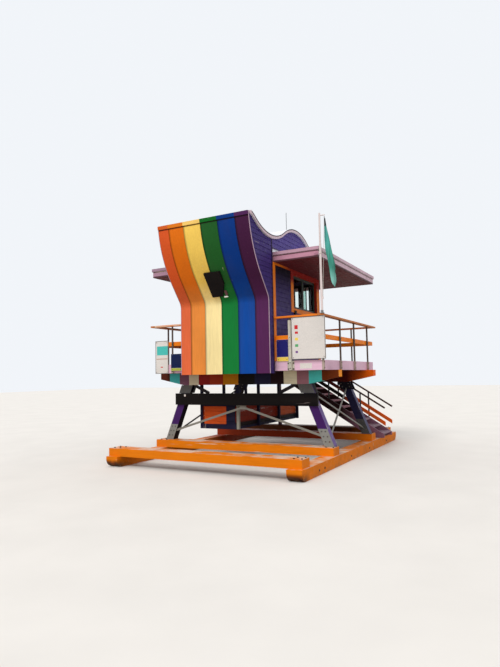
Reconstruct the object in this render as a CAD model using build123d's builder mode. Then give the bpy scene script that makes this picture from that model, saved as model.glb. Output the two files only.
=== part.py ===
"""Timber lifeguard tower on a towing skid, in millimetres.

Seen from the striped back wall: X runs to the right along that wall, Y runs
from the wall towards the sea, Z is up from the ground. The origin lies on the
ground in the middle of the space that the tower takes up.
"""
from math import atan, cos, degrees, radians, sin, tan
import os

from build123d import *

# Skid
skid_width = 5210
skid_back = -1645
skid_front = 6150
runner_width = 350
runner_height = 250
runner_lip = 60
beam_left = -2620
beam_right = 2560
beam_width = 400
beam_height = 190
back_beam = -1530
back_leg_beam = 330
front_leg_beam = 3500
landing_beam_gap = 5

# Leg frames and deck, whose middle lies a little to the right of the cabin's
frame_x = 45
leg_width = 220
leg_depth = 200
leg_foot_x = 2355
leg_head_x = 1745
header_length = 5276
header_depth = 330
header_width = 240
header_flat = 3700
header_tip = 165
sign_beam_length = 4210
sign_beam_depth = 310
sign_beam_thickness = 60
sign_beam_bottom = 1400
shoe_height = 420
shoe_plate = 10
shoe_width = 280
gusset_height = 220
gusset_width = 340
brace_width = 55
brace_thickness = 12
apex_height = 1345
apex_plate_width = 200
knee_width = 85
knee_head_x = 1520
knee_foot_x = 1040

# Deck
deck_width = 4843
deck_depth = 4230
deck_top = 2500
floor_thickness = 40
joist_depth = 195
joist_thickness = 50
joist_count = 9
fascia_thickness = 38

# Railings
rail_height = 1067
rail_cap_width = 140
rail_cap_thickness = 45
mid_rail_top = 610
mid_rail_depth = 115
mid_rail_thickness = 38
post_diameter = 48
seat_gap = 0.3
post_corner_gap = 6
right_post_y = [1250, 2390, 3620]
left_post_y = [610, 1810, 3010]
back_post_x = [-1780, 1685]
front_post_x = [560, 1820]

# Cabin
cabin_width = 2554
cabin_front = 3000
wall_height = 2425
wall_thickness = 100
window_back = 1100
window_front = 2800
window_sill = 1400
window_head = 2310
frame_width = 45
frame_thickness = 40
frame_inset = 5
glass_thickness = 6
front_opening_inset = 227
door_width = 850
door_height = 2050
front_window_width = 550
trim_width = 110
trim_thickness = 20
corner_width = 130
corner_lap = 45
casing_width = 160
casing_lap = 50

# Striped back wall: a post, a knee, a leaning slope and a long sweep
wall_face = -310
wall_skin = 60
wall_drop = 290
knee_rise = 1420
knee_radius = 300
sweep_radius = 2700
wall_lean = 38
top_lean = 6
wall_head_drop = 125
wall_cap_height = 90
wall_cap_thickness = 25
side_thickness = 50

# Wave roof
roof_thickness = 80
roof_overhang = 53
trough_rise = 400
wave_height = 450
half_wave = 1550
trough_y = -200
roof_front = 3100
gable_gap = 120
gable_foot = 100

# Canopy
canopy_width = 4896
canopy_depth = 4640
canopy_fascia_depth = 160
canopy_fascia_thickness = 40
canopy_roof_thickness = 85
canopy_lip = 25
soffit_thickness = 20

# Stair
riser_count = 13
tread_count = 11
going = 310
stair_head_x = -730
stair_gap = 100
stair_width = 940
tread_thickness = 45
nosing_overlap = 25
stringer_thickness = 50
stringer_depth = 350
stringer_drop = 20
toe_reach = 20
landing_length = 1050
landing_prop_left = -1230
landing_prop_width = 100
landing_rail_inset = 130
stair_rail_height = 800
stair_rail_diameter = 40
stair_board_top = 370
stair_board_depth = 120
stair_post_x = [0, 1000, 2000]
stair_rail_end_x = 2740

# Board locker under the deck
locker_left = -1460
locker_width = 1230
locker_bottom = 740
locker_height = 680
locker_post = 70
locker_rail = 50
locker_post_y = [800, 1970, 3310, 4700]
panel_thickness = 20

# Flagpole, flag and aerial
pole_x = 2530
pole_gap = 7
pole_diameter = 55
mast_diameter = 45
pole_rise = 760
arm_reach = 130
arm_diameter = 24
strap_thickness = 8
cleat_rise = 1400
cleat_size = 60
halyard_diameter = 8
flag_length = 1640
flag_thickness = 60
flag_drift = 190
flag_bulge = 235
flag_drop = 140
aerial_x = 1200
aerial_y = 1000
aerial_height = 420
aerial_diameter = 16

# Boards hung on the railings and the panel on the back wall
board_thickness = 18
large_board = (1742, 2590, 20, rail_height - rail_cap_thickness)
small_board_gap = 48
small_board_width = 305
small_board_foot = -10
small_board_head = 510
left_large_board = (-2360, -1930, -240, 650)
left_small_board = (-1805, -1450, -170, 280)
panel_left = -210
panel_right = 250
panel_foot = 60
panel_head = 740
panel_cut_left = 90
panel_cut_rise = 340
panel_depth = 45

# Heights that follow
beam_top = runner_height + beam_height
header_top = deck_top - floor_thickness - joist_depth
header_bottom = header_top - header_depth
ceiling = deck_top + wall_height
canopy_fascia_top = ceiling + canopy_fascia_depth
canopy_top = canopy_fascia_top + canopy_roof_thickness
trough_height = canopy_top + trough_rise
crest_height = trough_height + wave_height
wall_bottom = deck_top - wall_drop
knee_height = deck_top + knee_rise
wall_head = crest_height - wall_head_drop
pole_top = canopy_top + pole_rise
flag_top = pole_top - flag_drop
cleat_height = deck_top + cleat_rise
riser = deck_top / riser_count
stair_slope = riser / going
stringer_head = deck_top - stringer_drop
stair_foot_x = stair_head_x + tread_count * going + toe_reach
stair_back = deck_depth + stair_gap
stair_front = stair_back + stair_width
beam_backs = [back_beam, back_leg_beam, front_leg_beam, stair_front + landing_beam_gap]
arm_end = pole_x + arm_reach
flag_tip_x = arm_end + flag_drift
flag_right = arm_end + flag_bulge

# The front wall's openings and the small board keep their distance from the cabin's sides
door_left = front_opening_inset - cabin_width / 2
front_window_left = cabin_width / 2 - front_opening_inset - front_window_width
small_board_left = cabin_width / 2 + small_board_gap
small_board_right = small_board_left + small_board_width
small_board = (small_board_left, small_board_right, small_board_foot, small_board_head)

# Middle of the space that the tower takes up
middle_x = (flag_right + beam_left) / 2
middle_y = (skid_back + skid_front) / 2

# Length of the wall's straight slope between its knee and its sweep
lean_sine = sin(radians(wall_lean))
bend_rise = knee_radius * lean_sine + sweep_radius * (lean_sine - sin(radians(top_lean)))
slope_length = (wall_head - knee_height - bend_rise) / cos(radians(wall_lean))

leg_slope = (leg_foot_x - leg_head_x) / (header_bottom - beam_top)
leg_lean = atan(leg_slope)
leg_backs = [
    beam_backs[1] + beam_width - leg_depth,
    beam_backs[2],
]


def level(height, center=0):
    """Plan view at a height, with X counted from center."""
    return Plane(origin=(center - middle_x, -middle_y, height))


def across(y, center=0):
    """Elevation seen from the back, X to the right of center and Z up, facing the back."""
    return Plane(origin=(center - middle_x, y - middle_y, 0), x_dir=(1, 0, 0), z_dir=(0, -1, 0))


def along(x):
    """Side elevation, Y to the right and Z up, facing the right."""
    return Plane(origin=(x - middle_x, -middle_y, 0), x_dir=(0, 1, 0), z_dir=(1, 0, 0))


def rectangle(left, right, low, high, mode=Mode.ADD):
    """Rectangle given by its sides."""
    with Locations(((left + right) / 2, (low + high) / 2)):
        Rectangle(right - left, high - low, mode=mode)


def outline(*points, mode=Mode.ADD):
    """Face with straight sides."""
    Polygon(*points, align=None, mode=mode)


def leg_center(height):
    """Distance of a leg's middle from the middle of its frame at a height."""
    return leg_head_x + (header_bottom - height) * leg_slope


def leg_strip(side, low, high, width, mode=Mode.ADD):
    """Stretch of a leaning leg seen from the back."""
    half = width / cos(leg_lean) / 2
    foot = leg_center(low)
    head = leg_center(high)
    outline(
        (side * (foot - half), low),
        (side * (foot + half), low),
        (side * (head + half), high),
        (side * (head - half), high),
        mode=mode,
    )


def bar(start, end, width, mode=Mode.ADD):
    """Straight flat bar along the line from start to end."""
    run = (Vector(*end) - Vector(*start)).normalized()
    side = Vector(-run.Y, run.X) * (width / 2)
    corners = [Vector(*start) + side, Vector(*start) - side, Vector(*end) - side, Vector(*end) + side]
    outline(*[(corner.X, corner.Y) for corner in corners], mode=mode)


def flare_curve(inset):
    """Line of the back wall seen from the side, moved into the cabin by inset."""
    post = Line((wall_face + inset, wall_bottom), (wall_face + inset, knee_height))
    knee = JernArc(post @ 1, post % 1, knee_radius + inset, wall_lean)
    slope = PolarLine(knee @ 1, slope_length, direction=knee % 1)
    sweep = JernArc(slope @ 1, slope % 1, sweep_radius - inset, top_lean - wall_lean)
    return post @ 0, sweep @ 1


def beyond_flare(inset, mode):
    """Everything on the back's side of the wall's line."""
    far = skid_back - 1000
    high = crest_height + 500
    with BuildLine() as boundary:
        foot, head = flare_curve(inset)
        Polyline(head, (head.X, high), (far, high), (far, foot.Y), foot)
    make_face(boundary.edges(), mode=mode)


def roof_curve(drop):
    """Wave of equal arcs, moved down by drop, from a crest behind the wall to the eave."""
    turn = 2 * degrees(atan(wave_height / half_wave))
    radius = half_wave / (2 * sin(radians(turn)))
    start = Vector(trough_y - half_wave, crest_height - drop)
    point = start
    heading = Vector(1, 0)
    for bend in (-1, 1, 1, -1, -1, 1):
        arc = JernArc(point, heading, radius, bend * turn)
        point = arc @ 1
        heading = arc % 1
    eave = Line(point, (roof_front, point.Y))
    return start, eave @ 1


def above_roof(drop, mode):
    """Everything over the roof's line."""
    high = crest_height + 1000
    with BuildLine() as boundary:
        start, end = roof_curve(drop)
        Polyline(end, (end.X, high), (start.X, high), start)
    make_face(boundary.edges(), mode=mode)


# Skid runners with a rounded nose under each end
nose_radius = runner_height - runner_lip
with BuildPart() as skid_runners:
    for inner in (-skid_width / 2, skid_width / 2 - runner_width):
        with BuildSketch(along(inner)):
            with BuildLine():
                deck_line = Line((skid_front, runner_height), (skid_back, runner_height))
                back_lip = Line(deck_line @ 1, (skid_back, nose_radius))
                back_nose = JernArc(back_lip @ 1, back_lip % 1, nose_radius, 90)
                keel = Line(back_nose @ 1, (skid_front - nose_radius, 0))
                front_nose = JernArc(keel @ 1, keel % 1, nose_radius, 90)
                Line(front_nose @ 1, deck_line @ 0)
            make_face()
        extrude(amount=runner_width)

with BuildPart() as skid_beams:
    with BuildSketch(level(runner_height)):
        for back in beam_backs:
            rectangle(beam_left, beam_right, back, back + beam_width)
    extrude(amount=beam_height)

# Leaning legs in steel shoes, under a tapered header at the back and the front
with BuildPart() as legs:
    for back in leg_backs:
        with BuildSketch(across(back + leg_depth, frame_x)):
            for side in (-1, 1):
                leg_strip(side, beam_top + shoe_plate, header_bottom, leg_width)
        extrude(amount=leg_depth)

with BuildPart() as leg_shoes:
    for back in leg_backs:
        with BuildSketch(level(beam_top, frame_x)):
            for side in (-1, 1):
                foot = side * leg_center(beam_top)
                rectangle(foot - shoe_width / 2, foot + shoe_width / 2,
                          back - shoe_plate, back + leg_depth + shoe_plate)
        extrude(amount=shoe_plate)
        for face in (back, back + leg_depth + shoe_plate):
            with BuildSketch(across(face, frame_x)):
                for side in (-1, 1):
                    leg_strip(side, beam_top, beam_top + shoe_height, leg_width)
            extrude(amount=shoe_plate)

with BuildPart() as leg_gussets:
    for back in leg_backs:
        for face in (back, back + leg_depth + shoe_plate):
            with BuildSketch(across(face, frame_x)):
                for side in (-1, 1):
                    leg_strip(side, header_bottom - gusset_height, header_bottom, gusset_width)
            extrude(amount=shoe_plate)

header_half = header_length / 2
header_lap = (header_width - leg_depth) / 2
with BuildPart() as headers:
    for back in leg_backs:
        with BuildSketch(across(back + leg_depth + header_lap, frame_x)):
            outline(
                (-header_half, header_top),
                (-header_half, header_top - header_tip),
                (-header_flat / 2, header_bottom),
                (header_flat / 2, header_bottom),
                (header_half, header_top - header_tip),
                (header_half, header_top),
            )
        extrude(amount=header_width)

with BuildPart() as sign_beam:
    with BuildSketch(across(leg_backs[0], frame_x)):
        rectangle(-sign_beam_length / 2, sign_beam_length / 2,
                  sign_beam_bottom, sign_beam_bottom + sign_beam_depth)
    extrude(amount=sign_beam_thickness)

# Flat steel braces of the back frame: an inverted V under the sign beam and two knees over it
brace_foot_height = beam_top + 220
brace_foot_x = leg_center(brace_foot_height)
sign_beam_top = sign_beam_bottom + sign_beam_depth
plate_front = leg_backs[0] + brace_thickness
with BuildPart() as back_braces:
    with BuildSketch(across(plate_front, frame_x)):
        rectangle(-apex_plate_width / 2, apex_plate_width / 2, apex_height - brace_width, sign_beam_top)
    extrude(amount=brace_thickness)
    with BuildSketch(across(plate_front + seat_gap + brace_thickness, frame_x)):
        for side in (-1, 1):
            bar((side * brace_foot_x, brace_foot_height), (side * seat_gap, apex_height), brace_width)
            bar((side * knee_head_x, header_bottom), (side * knee_foot_x, sign_beam_top), knee_width)
            leg_strip(side, beam_top, header_bottom, leg_width, mode=Mode.SUBTRACT)
        rectangle(-seat_gap, seat_gap, beam_top, header_bottom, mode=Mode.SUBTRACT)
        rectangle(-header_half, header_half, header_bottom, header_top, mode=Mode.SUBTRACT)
    extrude(amount=brace_thickness)

# Crossed braces on each side, in the leaning plane of the legs
brace_back = leg_backs[0] + leg_depth + shoe_plate
brace_front = leg_backs[1] - shoe_plate
brace_low = (beam_top + 90) / cos(leg_lean)
brace_high = (header_bottom - 110) / cos(leg_lean)
with BuildPart() as side_braces:
    for side in (-1, 1):
        leg_plane = Plane(
            origin=(frame_x + side * leg_center(0) - middle_x, -middle_y, 0),
            x_dir=(0, 1, 0),
            z_dir=(cos(leg_lean), 0, side * sin(leg_lean)),
        )
        for back_height, front_height, layer in ((brace_high, brace_low, 1), (brace_low, brace_high, -1)):
            with BuildSketch(leg_plane.offset(layer * seat_gap)):
                bar((brace_back - 200, back_height), (brace_front + 200, front_height), brace_width)
                rectangle(brace_back, brace_front, 0, 2 * brace_high, mode=Mode.INTERSECT)
            extrude(amount=layer * brace_thickness)

# Deck: joists over the headers, boards and a fascia round them
deck_left = frame_x - deck_width / 2
deck_right = frame_x + deck_width / 2
inside_left = deck_left + fascia_thickness
inside_right = deck_right - fascia_thickness
cabin_half = cabin_width / 2
with BuildPart() as deck_joists:
    with BuildSketch(level(header_top)):
        joist_spacing = (inside_right - inside_left - joist_thickness) / (joist_count - 1)
        with Locations((frame_x, deck_depth / 2)):
            with GridLocations(joist_spacing, 0, joist_count, 1):
                Rectangle(joist_thickness, deck_depth - 2 * fascia_thickness)
    extrude(amount=joist_depth)

with BuildPart() as deck_fascia:
    with BuildSketch(level(header_top)):
        rectangle(deck_left, deck_right, 0, deck_depth)
        rectangle(inside_left, inside_right, fascia_thickness, deck_depth - fascia_thickness, mode=Mode.SUBTRACT)
    extrude(amount=deck_top - header_top)

side_inner = cabin_half - side_thickness
with BuildPart() as deck_floor:
    with BuildSketch(level(deck_top - floor_thickness)):
        rectangle(inside_left, inside_right, fascia_thickness, deck_depth - fascia_thickness)
        rectangle(-side_inner, side_inner, wall_face + wall_skin, 0)
    extrude(amount=floor_thickness)

# Landing beside the deck at the head of the stair
landing_left = stair_head_x - landing_length
landing_inside = (landing_left + joist_thickness, stair_head_x - joist_thickness)
with BuildPart() as landing_frame:
    with BuildSketch(level(header_top)):
        rectangle(landing_left, stair_head_x, deck_depth, stair_front)
        rectangle(*landing_inside, deck_depth + joist_thickness, stair_front - joist_thickness, mode=Mode.SUBTRACT)
        rectangle(*landing_inside, (deck_depth + stair_front - joist_thickness) / 2,
                  (deck_depth + stair_front + joist_thickness) / 2)
    extrude(amount=joist_depth)

with BuildPart() as landing_prop:
    with BuildSketch(level(beam_top)):
        rectangle(landing_prop_left, landing_prop_left + landing_prop_width,
                  stair_front, stair_front + landing_prop_width)
    extrude(amount=header_top + joist_depth - beam_top)

with BuildPart() as landing_floor:
    with BuildSketch(level(deck_top - floor_thickness)):
        rectangle(landing_left, stair_head_x, deck_depth, stair_front)
    extrude(amount=floor_thickness)

# Railings: pipe posts bolted outside the fascia, a flat cap and a board
post_radius = post_diameter / 2
post_reach = post_radius + seat_gap
rail_top = deck_top + rail_height
cap_bottom = rail_top - rail_cap_thickness


def fence(elevation, cap, board, posts, inward):
    """Run of railing in an elevation through its posts.

    The cap and the board each have a start and an end, and inward is 1 where
    the deck lies on the side that the elevation faces, else -1.
    """
    footing = elevation.from_local_coords((0, header_top + seat_gap, 0))
    board_top = deck_top + mid_rail_top
    with BuildPart() as run:
        with BuildSketch(Plane(origin=footing, x_dir=elevation.x_dir, z_dir=(0, 0, 1))):
            with Locations(*[(post, 0) for post in posts]):
                Circle(post_radius)
        extrude(amount=cap_bottom - header_top - 2 * seat_gap)
        with BuildSketch(elevation.offset(-cap_half)):
            rectangle(*cap, cap_bottom, rail_top)
        extrude(amount=rail_cap_width)
        with BuildSketch(elevation.offset(inward * post_reach)):
            rectangle(*board, board_top - mid_rail_depth, board_top)
        extrude(amount=inward * mid_rail_thickness)
    return run.part


cap_half = rail_cap_width / 2
right_line = deck_right + post_reach
left_line = deck_left - post_reach
back_line = -post_reach
front_line = deck_depth + post_reach
landing_side_line = landing_left - post_reach
landing_front_line = stair_front + post_reach
wall_side = cabin_half + trim_thickness
corner_post = post_radius + post_corner_gap

side_cap = (back_line - cap_half, front_line + cap_half)
right_board = (back_line, front_line)
left_board = (0, front_line)
with BuildPart() as rail_right:
    add(fence(along(right_line), side_cap, right_board, [corner_post, *right_post_y], -1))
with BuildPart() as rail_left:
    add(fence(along(left_line), side_cap, left_board, [*left_post_y, deck_depth - corner_post], 1))

back_run = (wall_side, right_line - cap_half)
back_run_left = (left_line + cap_half, -wall_side)
with BuildPart() as rail_back:
    add(fence(across(back_line), back_run, back_run, back_post_x[1:], -1))
    add(fence(across(back_line), back_run_left, back_run_left, back_post_x[:1], -1))

front_run = (stair_head_x, right_line - cap_half)
front_run_left = (left_line + cap_half, landing_left)
with BuildPart() as rail_front:
    add(fence(across(front_line), front_run, front_run, [stair_head_x + corner_post, *front_post_x], 1))
    add(fence(across(front_line), front_run_left, front_run_left, [landing_left - corner_post], 1))

landing_cap = (front_line + cap_half, landing_front_line + cap_half)
landing_board = (front_line + cap_half, landing_front_line)
landing_front_cap = (landing_side_line + cap_half + seat_gap, stair_head_x)
landing_post_x = [landing_left + landing_rail_inset, stair_head_x - landing_rail_inset]
with BuildPart() as rail_landing:
    add(fence(along(landing_side_line), landing_cap, landing_board, [stair_front - corner_post], 1))
    add(fence(across(landing_front_line), landing_front_cap, landing_front_cap, landing_post_x, 1))


# Stair: straight stringers, housed treads, and a pipe and board rail on each side
def stair_line(x):
    """Height of the nosings' line."""
    return deck_top - (x - stair_head_x) * stair_slope


def stringer_outline(mode=Mode.ADD):
    """Plank cut plumb at its head and toe and level where it rests on the runner."""
    seat_x = stair_head_x + (stringer_head - stringer_depth - runner_height) / stair_slope
    outline(
        (stair_head_x, stringer_head),
        (stair_head_x, stringer_head - stringer_depth),
        (seat_x, runner_height),
        (stair_foot_x, runner_height),
        (stair_foot_x, stair_line(stair_foot_x) - stringer_drop),
        mode=mode,
    )


with BuildPart() as stair_stringers:
    for front in (stair_back + stringer_thickness, stair_front):
        with BuildSketch(across(front)):
            stringer_outline()
        extrude(amount=stringer_thickness)

with BuildPart() as stair_treads:
    with BuildSketch(across(stair_front - stringer_thickness)):
        for step in range(1, tread_count + 1):
            nosing = stair_head_x + step * going
            top = deck_top - step * riser
            rectangle(nosing - going - nosing_overlap, nosing, top - tread_thickness, top)
        rectangle(stair_head_x - going, stair_head_x, 0, deck_top, mode=Mode.SUBTRACT)
    extrude(amount=stair_width - 2 * stringer_thickness)


pipe_rise = stair_rail_height - stair_rail_diameter / 2
pipe_clearance = (stair_rail_diameter / 2 + seat_gap) / cos(atan(stair_slope))
pipe_start = (stair_head_x, deck_top + pipe_rise)
pipe_end = (stair_rail_end_x, stair_line(stair_rail_end_x) + pipe_rise)
stair_rail_runs = (
    (stair_back + stringer_thickness / 2, 1),
    (stair_front - stringer_thickness / 2, -1),
)
with BuildPart() as stair_rails:
    for center, outward in stair_rail_runs:
        for x in stair_post_x:
            with BuildSketch(level(stair_line(x) - stringer_depth)):
                with Locations((x, center)):
                    Circle(post_radius)
            extrude(amount=stringer_depth + stair_rail_height)
        with BuildSketch(across(center + post_radius)):
            stringer_outline()
            outline(
                (pipe_start[0], pipe_start[1] - pipe_clearance),
                (pipe_end[0], pipe_end[1] - pipe_clearance),
                (pipe_end[0], rail_top + stair_rail_height),
                (pipe_start[0], rail_top + stair_rail_height),
            )
        extrude(amount=post_diameter, mode=Mode.SUBTRACT)
    for center, outward in stair_rail_runs:
        with BuildSketch(across(center).offset(outward * post_reach)):
            outline(
                (stair_head_x, deck_top + stair_board_top),
                (stair_head_x, deck_top + stair_board_top - stair_board_depth),
                (stair_rail_end_x, stair_line(stair_rail_end_x) + stair_board_top - stair_board_depth),
                (stair_rail_end_x, stair_line(stair_rail_end_x) + stair_board_top),
            )
        extrude(amount=outward * mid_rail_thickness)
        with BuildLine(across(center)) as pipe_line:
            Line(pipe_start, pipe_end)
        with BuildSketch(Plane(origin=pipe_line.line @ 0, z_dir=pipe_line.line % 0)):
            Circle(stair_rail_diameter / 2)
        sweep(path=pipe_line.line)

# Cabin: side walls with a window each, a front wall with a doorway and a window
sill = deck_top + window_sill
head = deck_top + window_head
wall_back = -canopy_lip
with BuildPart() as wall_right:
    with BuildSketch(along(cabin_half - wall_thickness)):
        rectangle(wall_back, cabin_front, deck_top, ceiling)
        rectangle(window_back, window_front, sill, head, mode=Mode.SUBTRACT)
    extrude(amount=wall_thickness)

with BuildPart() as wall_left:
    with BuildSketch(along(-cabin_half)):
        rectangle(wall_back, cabin_front, deck_top, ceiling)
        rectangle(window_back, window_front, sill, head, mode=Mode.SUBTRACT)
    extrude(amount=wall_thickness)

front_half = cabin_half - wall_thickness
front_window_right = front_window_left + front_window_width
with BuildPart() as wall_front:
    with BuildSketch(across(cabin_front)):
        rectangle(-front_half, front_half, deck_top, ceiling)
        rectangle(door_left, door_left + door_width, deck_top, deck_top + door_height, mode=Mode.SUBTRACT)
        rectangle(front_window_left, front_window_right, sill, head, mode=Mode.SUBTRACT)
    extrude(amount=wall_thickness)


def window_frame(left, right):
    """Frame with a middle mullion."""
    rectangle(left, right, sill, head)
    for pane_left, pane_right in panes(left, right):
        rectangle(pane_left, pane_right, sill + frame_width, head - frame_width, mode=Mode.SUBTRACT)


def panes(left, right):
    """Sides of the two panes between a frame's sides."""
    middle = (left + right) / 2
    return ((left + frame_width, middle - frame_width / 2), (middle + frame_width / 2, right - frame_width))


# The frames lie near the walls' inner faces; each window has its wall's plane and way out
windows = (
    (along(cabin_half - wall_thickness), 1, window_back, window_front),
    (along(wall_thickness - cabin_half), -1, window_back, window_front),
    (across(cabin_front - wall_thickness), -1, front_window_left, front_window_right),
)
with BuildPart() as window_frames:
    for wall_plane, outward, left, right in windows:
        with BuildSketch(wall_plane.offset(outward * frame_inset)):
            window_frame(left, right)
        extrude(amount=outward * frame_thickness)

glass_inset = frame_inset + (frame_thickness - glass_thickness) / 2
with BuildPart() as window_glass:
    for wall_plane, outward, left, right in windows:
        with BuildSketch(wall_plane.offset(outward * glass_inset)):
            for pane_left, pane_right in panes(left, right):
                rectangle(pane_left, pane_right, sill + frame_width, head - frame_width)
        extrude(amount=outward * glass_thickness)

# Trim boards: corner, top plate, casing, sill, and the front corner beside the window
corner_edge = wall_back - corner_lap
casing_back = window_back + casing_lap - casing_width
with BuildPart() as wall_trim:
    for plane, amount in ((along(cabin_half), trim_thickness), (along(-cabin_half), -trim_thickness)):
        with BuildSketch(plane):
            rectangle(corner_edge, corner_edge + corner_width, deck_top, ceiling)
            rectangle(corner_edge, cabin_front, head, ceiling)
            rectangle(corner_edge + corner_width, casing_back, head, ceiling - trim_width / 2, mode=Mode.SUBTRACT)
            rectangle(casing_back, casing_back + casing_width, sill - trim_width, ceiling)
            rectangle(casing_back, cabin_front, sill - trim_width, sill)
            rectangle(window_front, cabin_front, deck_top, ceiling)
        extrude(amount=amount)

# Striped back wall, flaring out over the skid, with its sides and its cap
with BuildPart() as striped_wall:
    with BuildSketch(along(-cabin_half)):
        with BuildLine():
            outer_foot, outer_head = flare_curve(0)
            inner_foot, inner_head = flare_curve(wall_skin)
            Line(outer_foot, inner_foot)
            Line(outer_head, inner_head)
        make_face()
    extrude(amount=cabin_width)

with BuildPart() as wall_cap:
    with BuildSketch(along(-cabin_half)):
        with BuildLine():
            cap_foot, cap_head = flare_curve(-wall_cap_thickness)
            face_foot, face_head = flare_curve(0)
            Line(cap_foot, face_foot)
            Line(cap_head, face_head)
        make_face()
        rectangle(skid_back - 1000, 0, wall_bottom - 10, wall_head - wall_cap_height, mode=Mode.SUBTRACT)
    extrude(amount=cabin_width)

with BuildPart() as flare_sides:
    for inner in (-cabin_half, side_inner):
        with BuildSketch(along(inner)):
            rectangle(skid_back, wall_back, wall_bottom, crest_height)
            beyond_flare(wall_skin, Mode.SUBTRACT)
            above_roof(roof_thickness, Mode.SUBTRACT)
        extrude(amount=side_thickness)

# Wave roof on its gables, which stand on feet clear of the canopy
roof_half = cabin_half + roof_overhang
gable_bottom = canopy_top + gable_gap
with BuildPart() as wave_roof:
    with BuildSketch(along(-roof_half)):
        rectangle(skid_back, roof_front, trough_height - roof_thickness - 10, crest_height + 10)
        beyond_flare(wall_skin, Mode.SUBTRACT)
        above_roof(0, Mode.SUBTRACT)
        with BuildLine() as underside:
            under_start, under_end = roof_curve(roof_thickness)
            floor_line = trough_height - roof_thickness - 100
            Polyline(under_end, (under_end.X, floor_line), (under_start.X, floor_line), under_start)
        make_face(underside.edges(), mode=Mode.SUBTRACT)
    extrude(amount=2 * roof_half)

with BuildPart() as roof_gables:
    for inner in (-cabin_half, side_inner):
        with BuildSketch(along(inner)):
            rectangle(wall_back, cabin_front, gable_bottom, crest_height)
            above_roof(roof_thickness, Mode.SUBTRACT)
            for foot in (cabin_front / 2, cabin_front - gable_foot):
                rectangle(foot, foot + gable_foot, canopy_top, gable_bottom)
        extrude(amount=side_thickness)
    with BuildSketch(across(cabin_front)):
        rectangle(seat_gap - side_inner, side_inner - seat_gap, gable_bottom, trough_height - roof_thickness)
    extrude(amount=side_thickness)

# Canopy: a fascia ring, a boarded soffit and a flat roof with a lip
canopy_half = canopy_width / 2
canopy_inner = canopy_half - canopy_fascia_thickness
canopy_inner_front = canopy_depth - canopy_fascia_thickness
with BuildPart() as canopy_fascia:
    with BuildSketch(level(ceiling)):
        rectangle(-canopy_half, canopy_half, 0, canopy_depth)
        rectangle(-canopy_inner, canopy_inner, canopy_fascia_thickness, canopy_inner_front, mode=Mode.SUBTRACT)
    extrude(amount=canopy_fascia_depth)

with BuildPart() as canopy_soffit:
    with BuildSketch(level(ceiling)):
        rectangle(-canopy_inner, canopy_inner, canopy_fascia_thickness, canopy_inner_front)
    extrude(amount=soffit_thickness)

with BuildPart() as canopy_roof:
    with BuildSketch(level(canopy_fascia_top)):
        rectangle(-canopy_half - canopy_lip, canopy_half + canopy_lip, -canopy_lip, canopy_depth + canopy_lip)
    extrude(amount=canopy_roof_thickness)

# Locker hung under the deck: bearers under the joists, dark posts, rails inside them,
# orange panels and a floor. Its last posts stand under the stair and end at its top.
locker_right = locker_left + locker_width
locker_top = locker_bottom + locker_height
locker_back = locker_post_y[0]
locker_front = locker_post_y[-1] + locker_post
locker_inner = locker_post + locker_rail
bearer_bottom = header_top - locker_post


def locker_sides(inset, width):
    """Plan of the two long sides."""
    for left in (locker_left + inset, locker_right - inset - width):
        rectangle(left, left + width, locker_back, locker_front)


def locker_ends(inset, width):
    """Plan of the two ends, between the long sides."""
    for back in (locker_back + inset, locker_front - inset - width):
        rectangle(locker_left + locker_inner + seat_gap, locker_right - locker_inner - seat_gap, back, back + width)


with BuildPart() as locker_frame:
    for back in locker_post_y:
        under_deck = back < deck_depth
        with BuildSketch(level(locker_bottom)):
            for left in (locker_left, locker_right - locker_post):
                rectangle(left, left + locker_post, back, back + locker_post)
        extrude(amount=(bearer_bottom if under_deck else locker_top) - locker_bottom)
        if under_deck:
            with BuildSketch(level(bearer_bottom + seat_gap)):
                rectangle(locker_left, locker_right, back, back + locker_post)
            extrude(amount=locker_post - seat_gap)
    for low in (locker_bottom, locker_top - locker_post):
        with BuildSketch(level(low)):
            locker_sides(locker_post + seat_gap, locker_rail - seat_gap)
            locker_ends(0, locker_rail)
        extrude(amount=locker_post)

panel_inset = (locker_rail - panel_thickness) / 2
with BuildPart() as locker_panels:
    with BuildSketch(level(locker_bottom + locker_post)):
        locker_sides(locker_post + panel_inset, panel_thickness)
        locker_ends(panel_inset, panel_thickness)
    extrude(amount=locker_height - 2 * locker_post)
    with BuildSketch(level(locker_bottom)):
        rectangle(locker_left + locker_inner, locker_right - locker_inner,
                  locker_back + locker_rail, locker_front - locker_rail)
    extrude(amount=panel_thickness)

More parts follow.
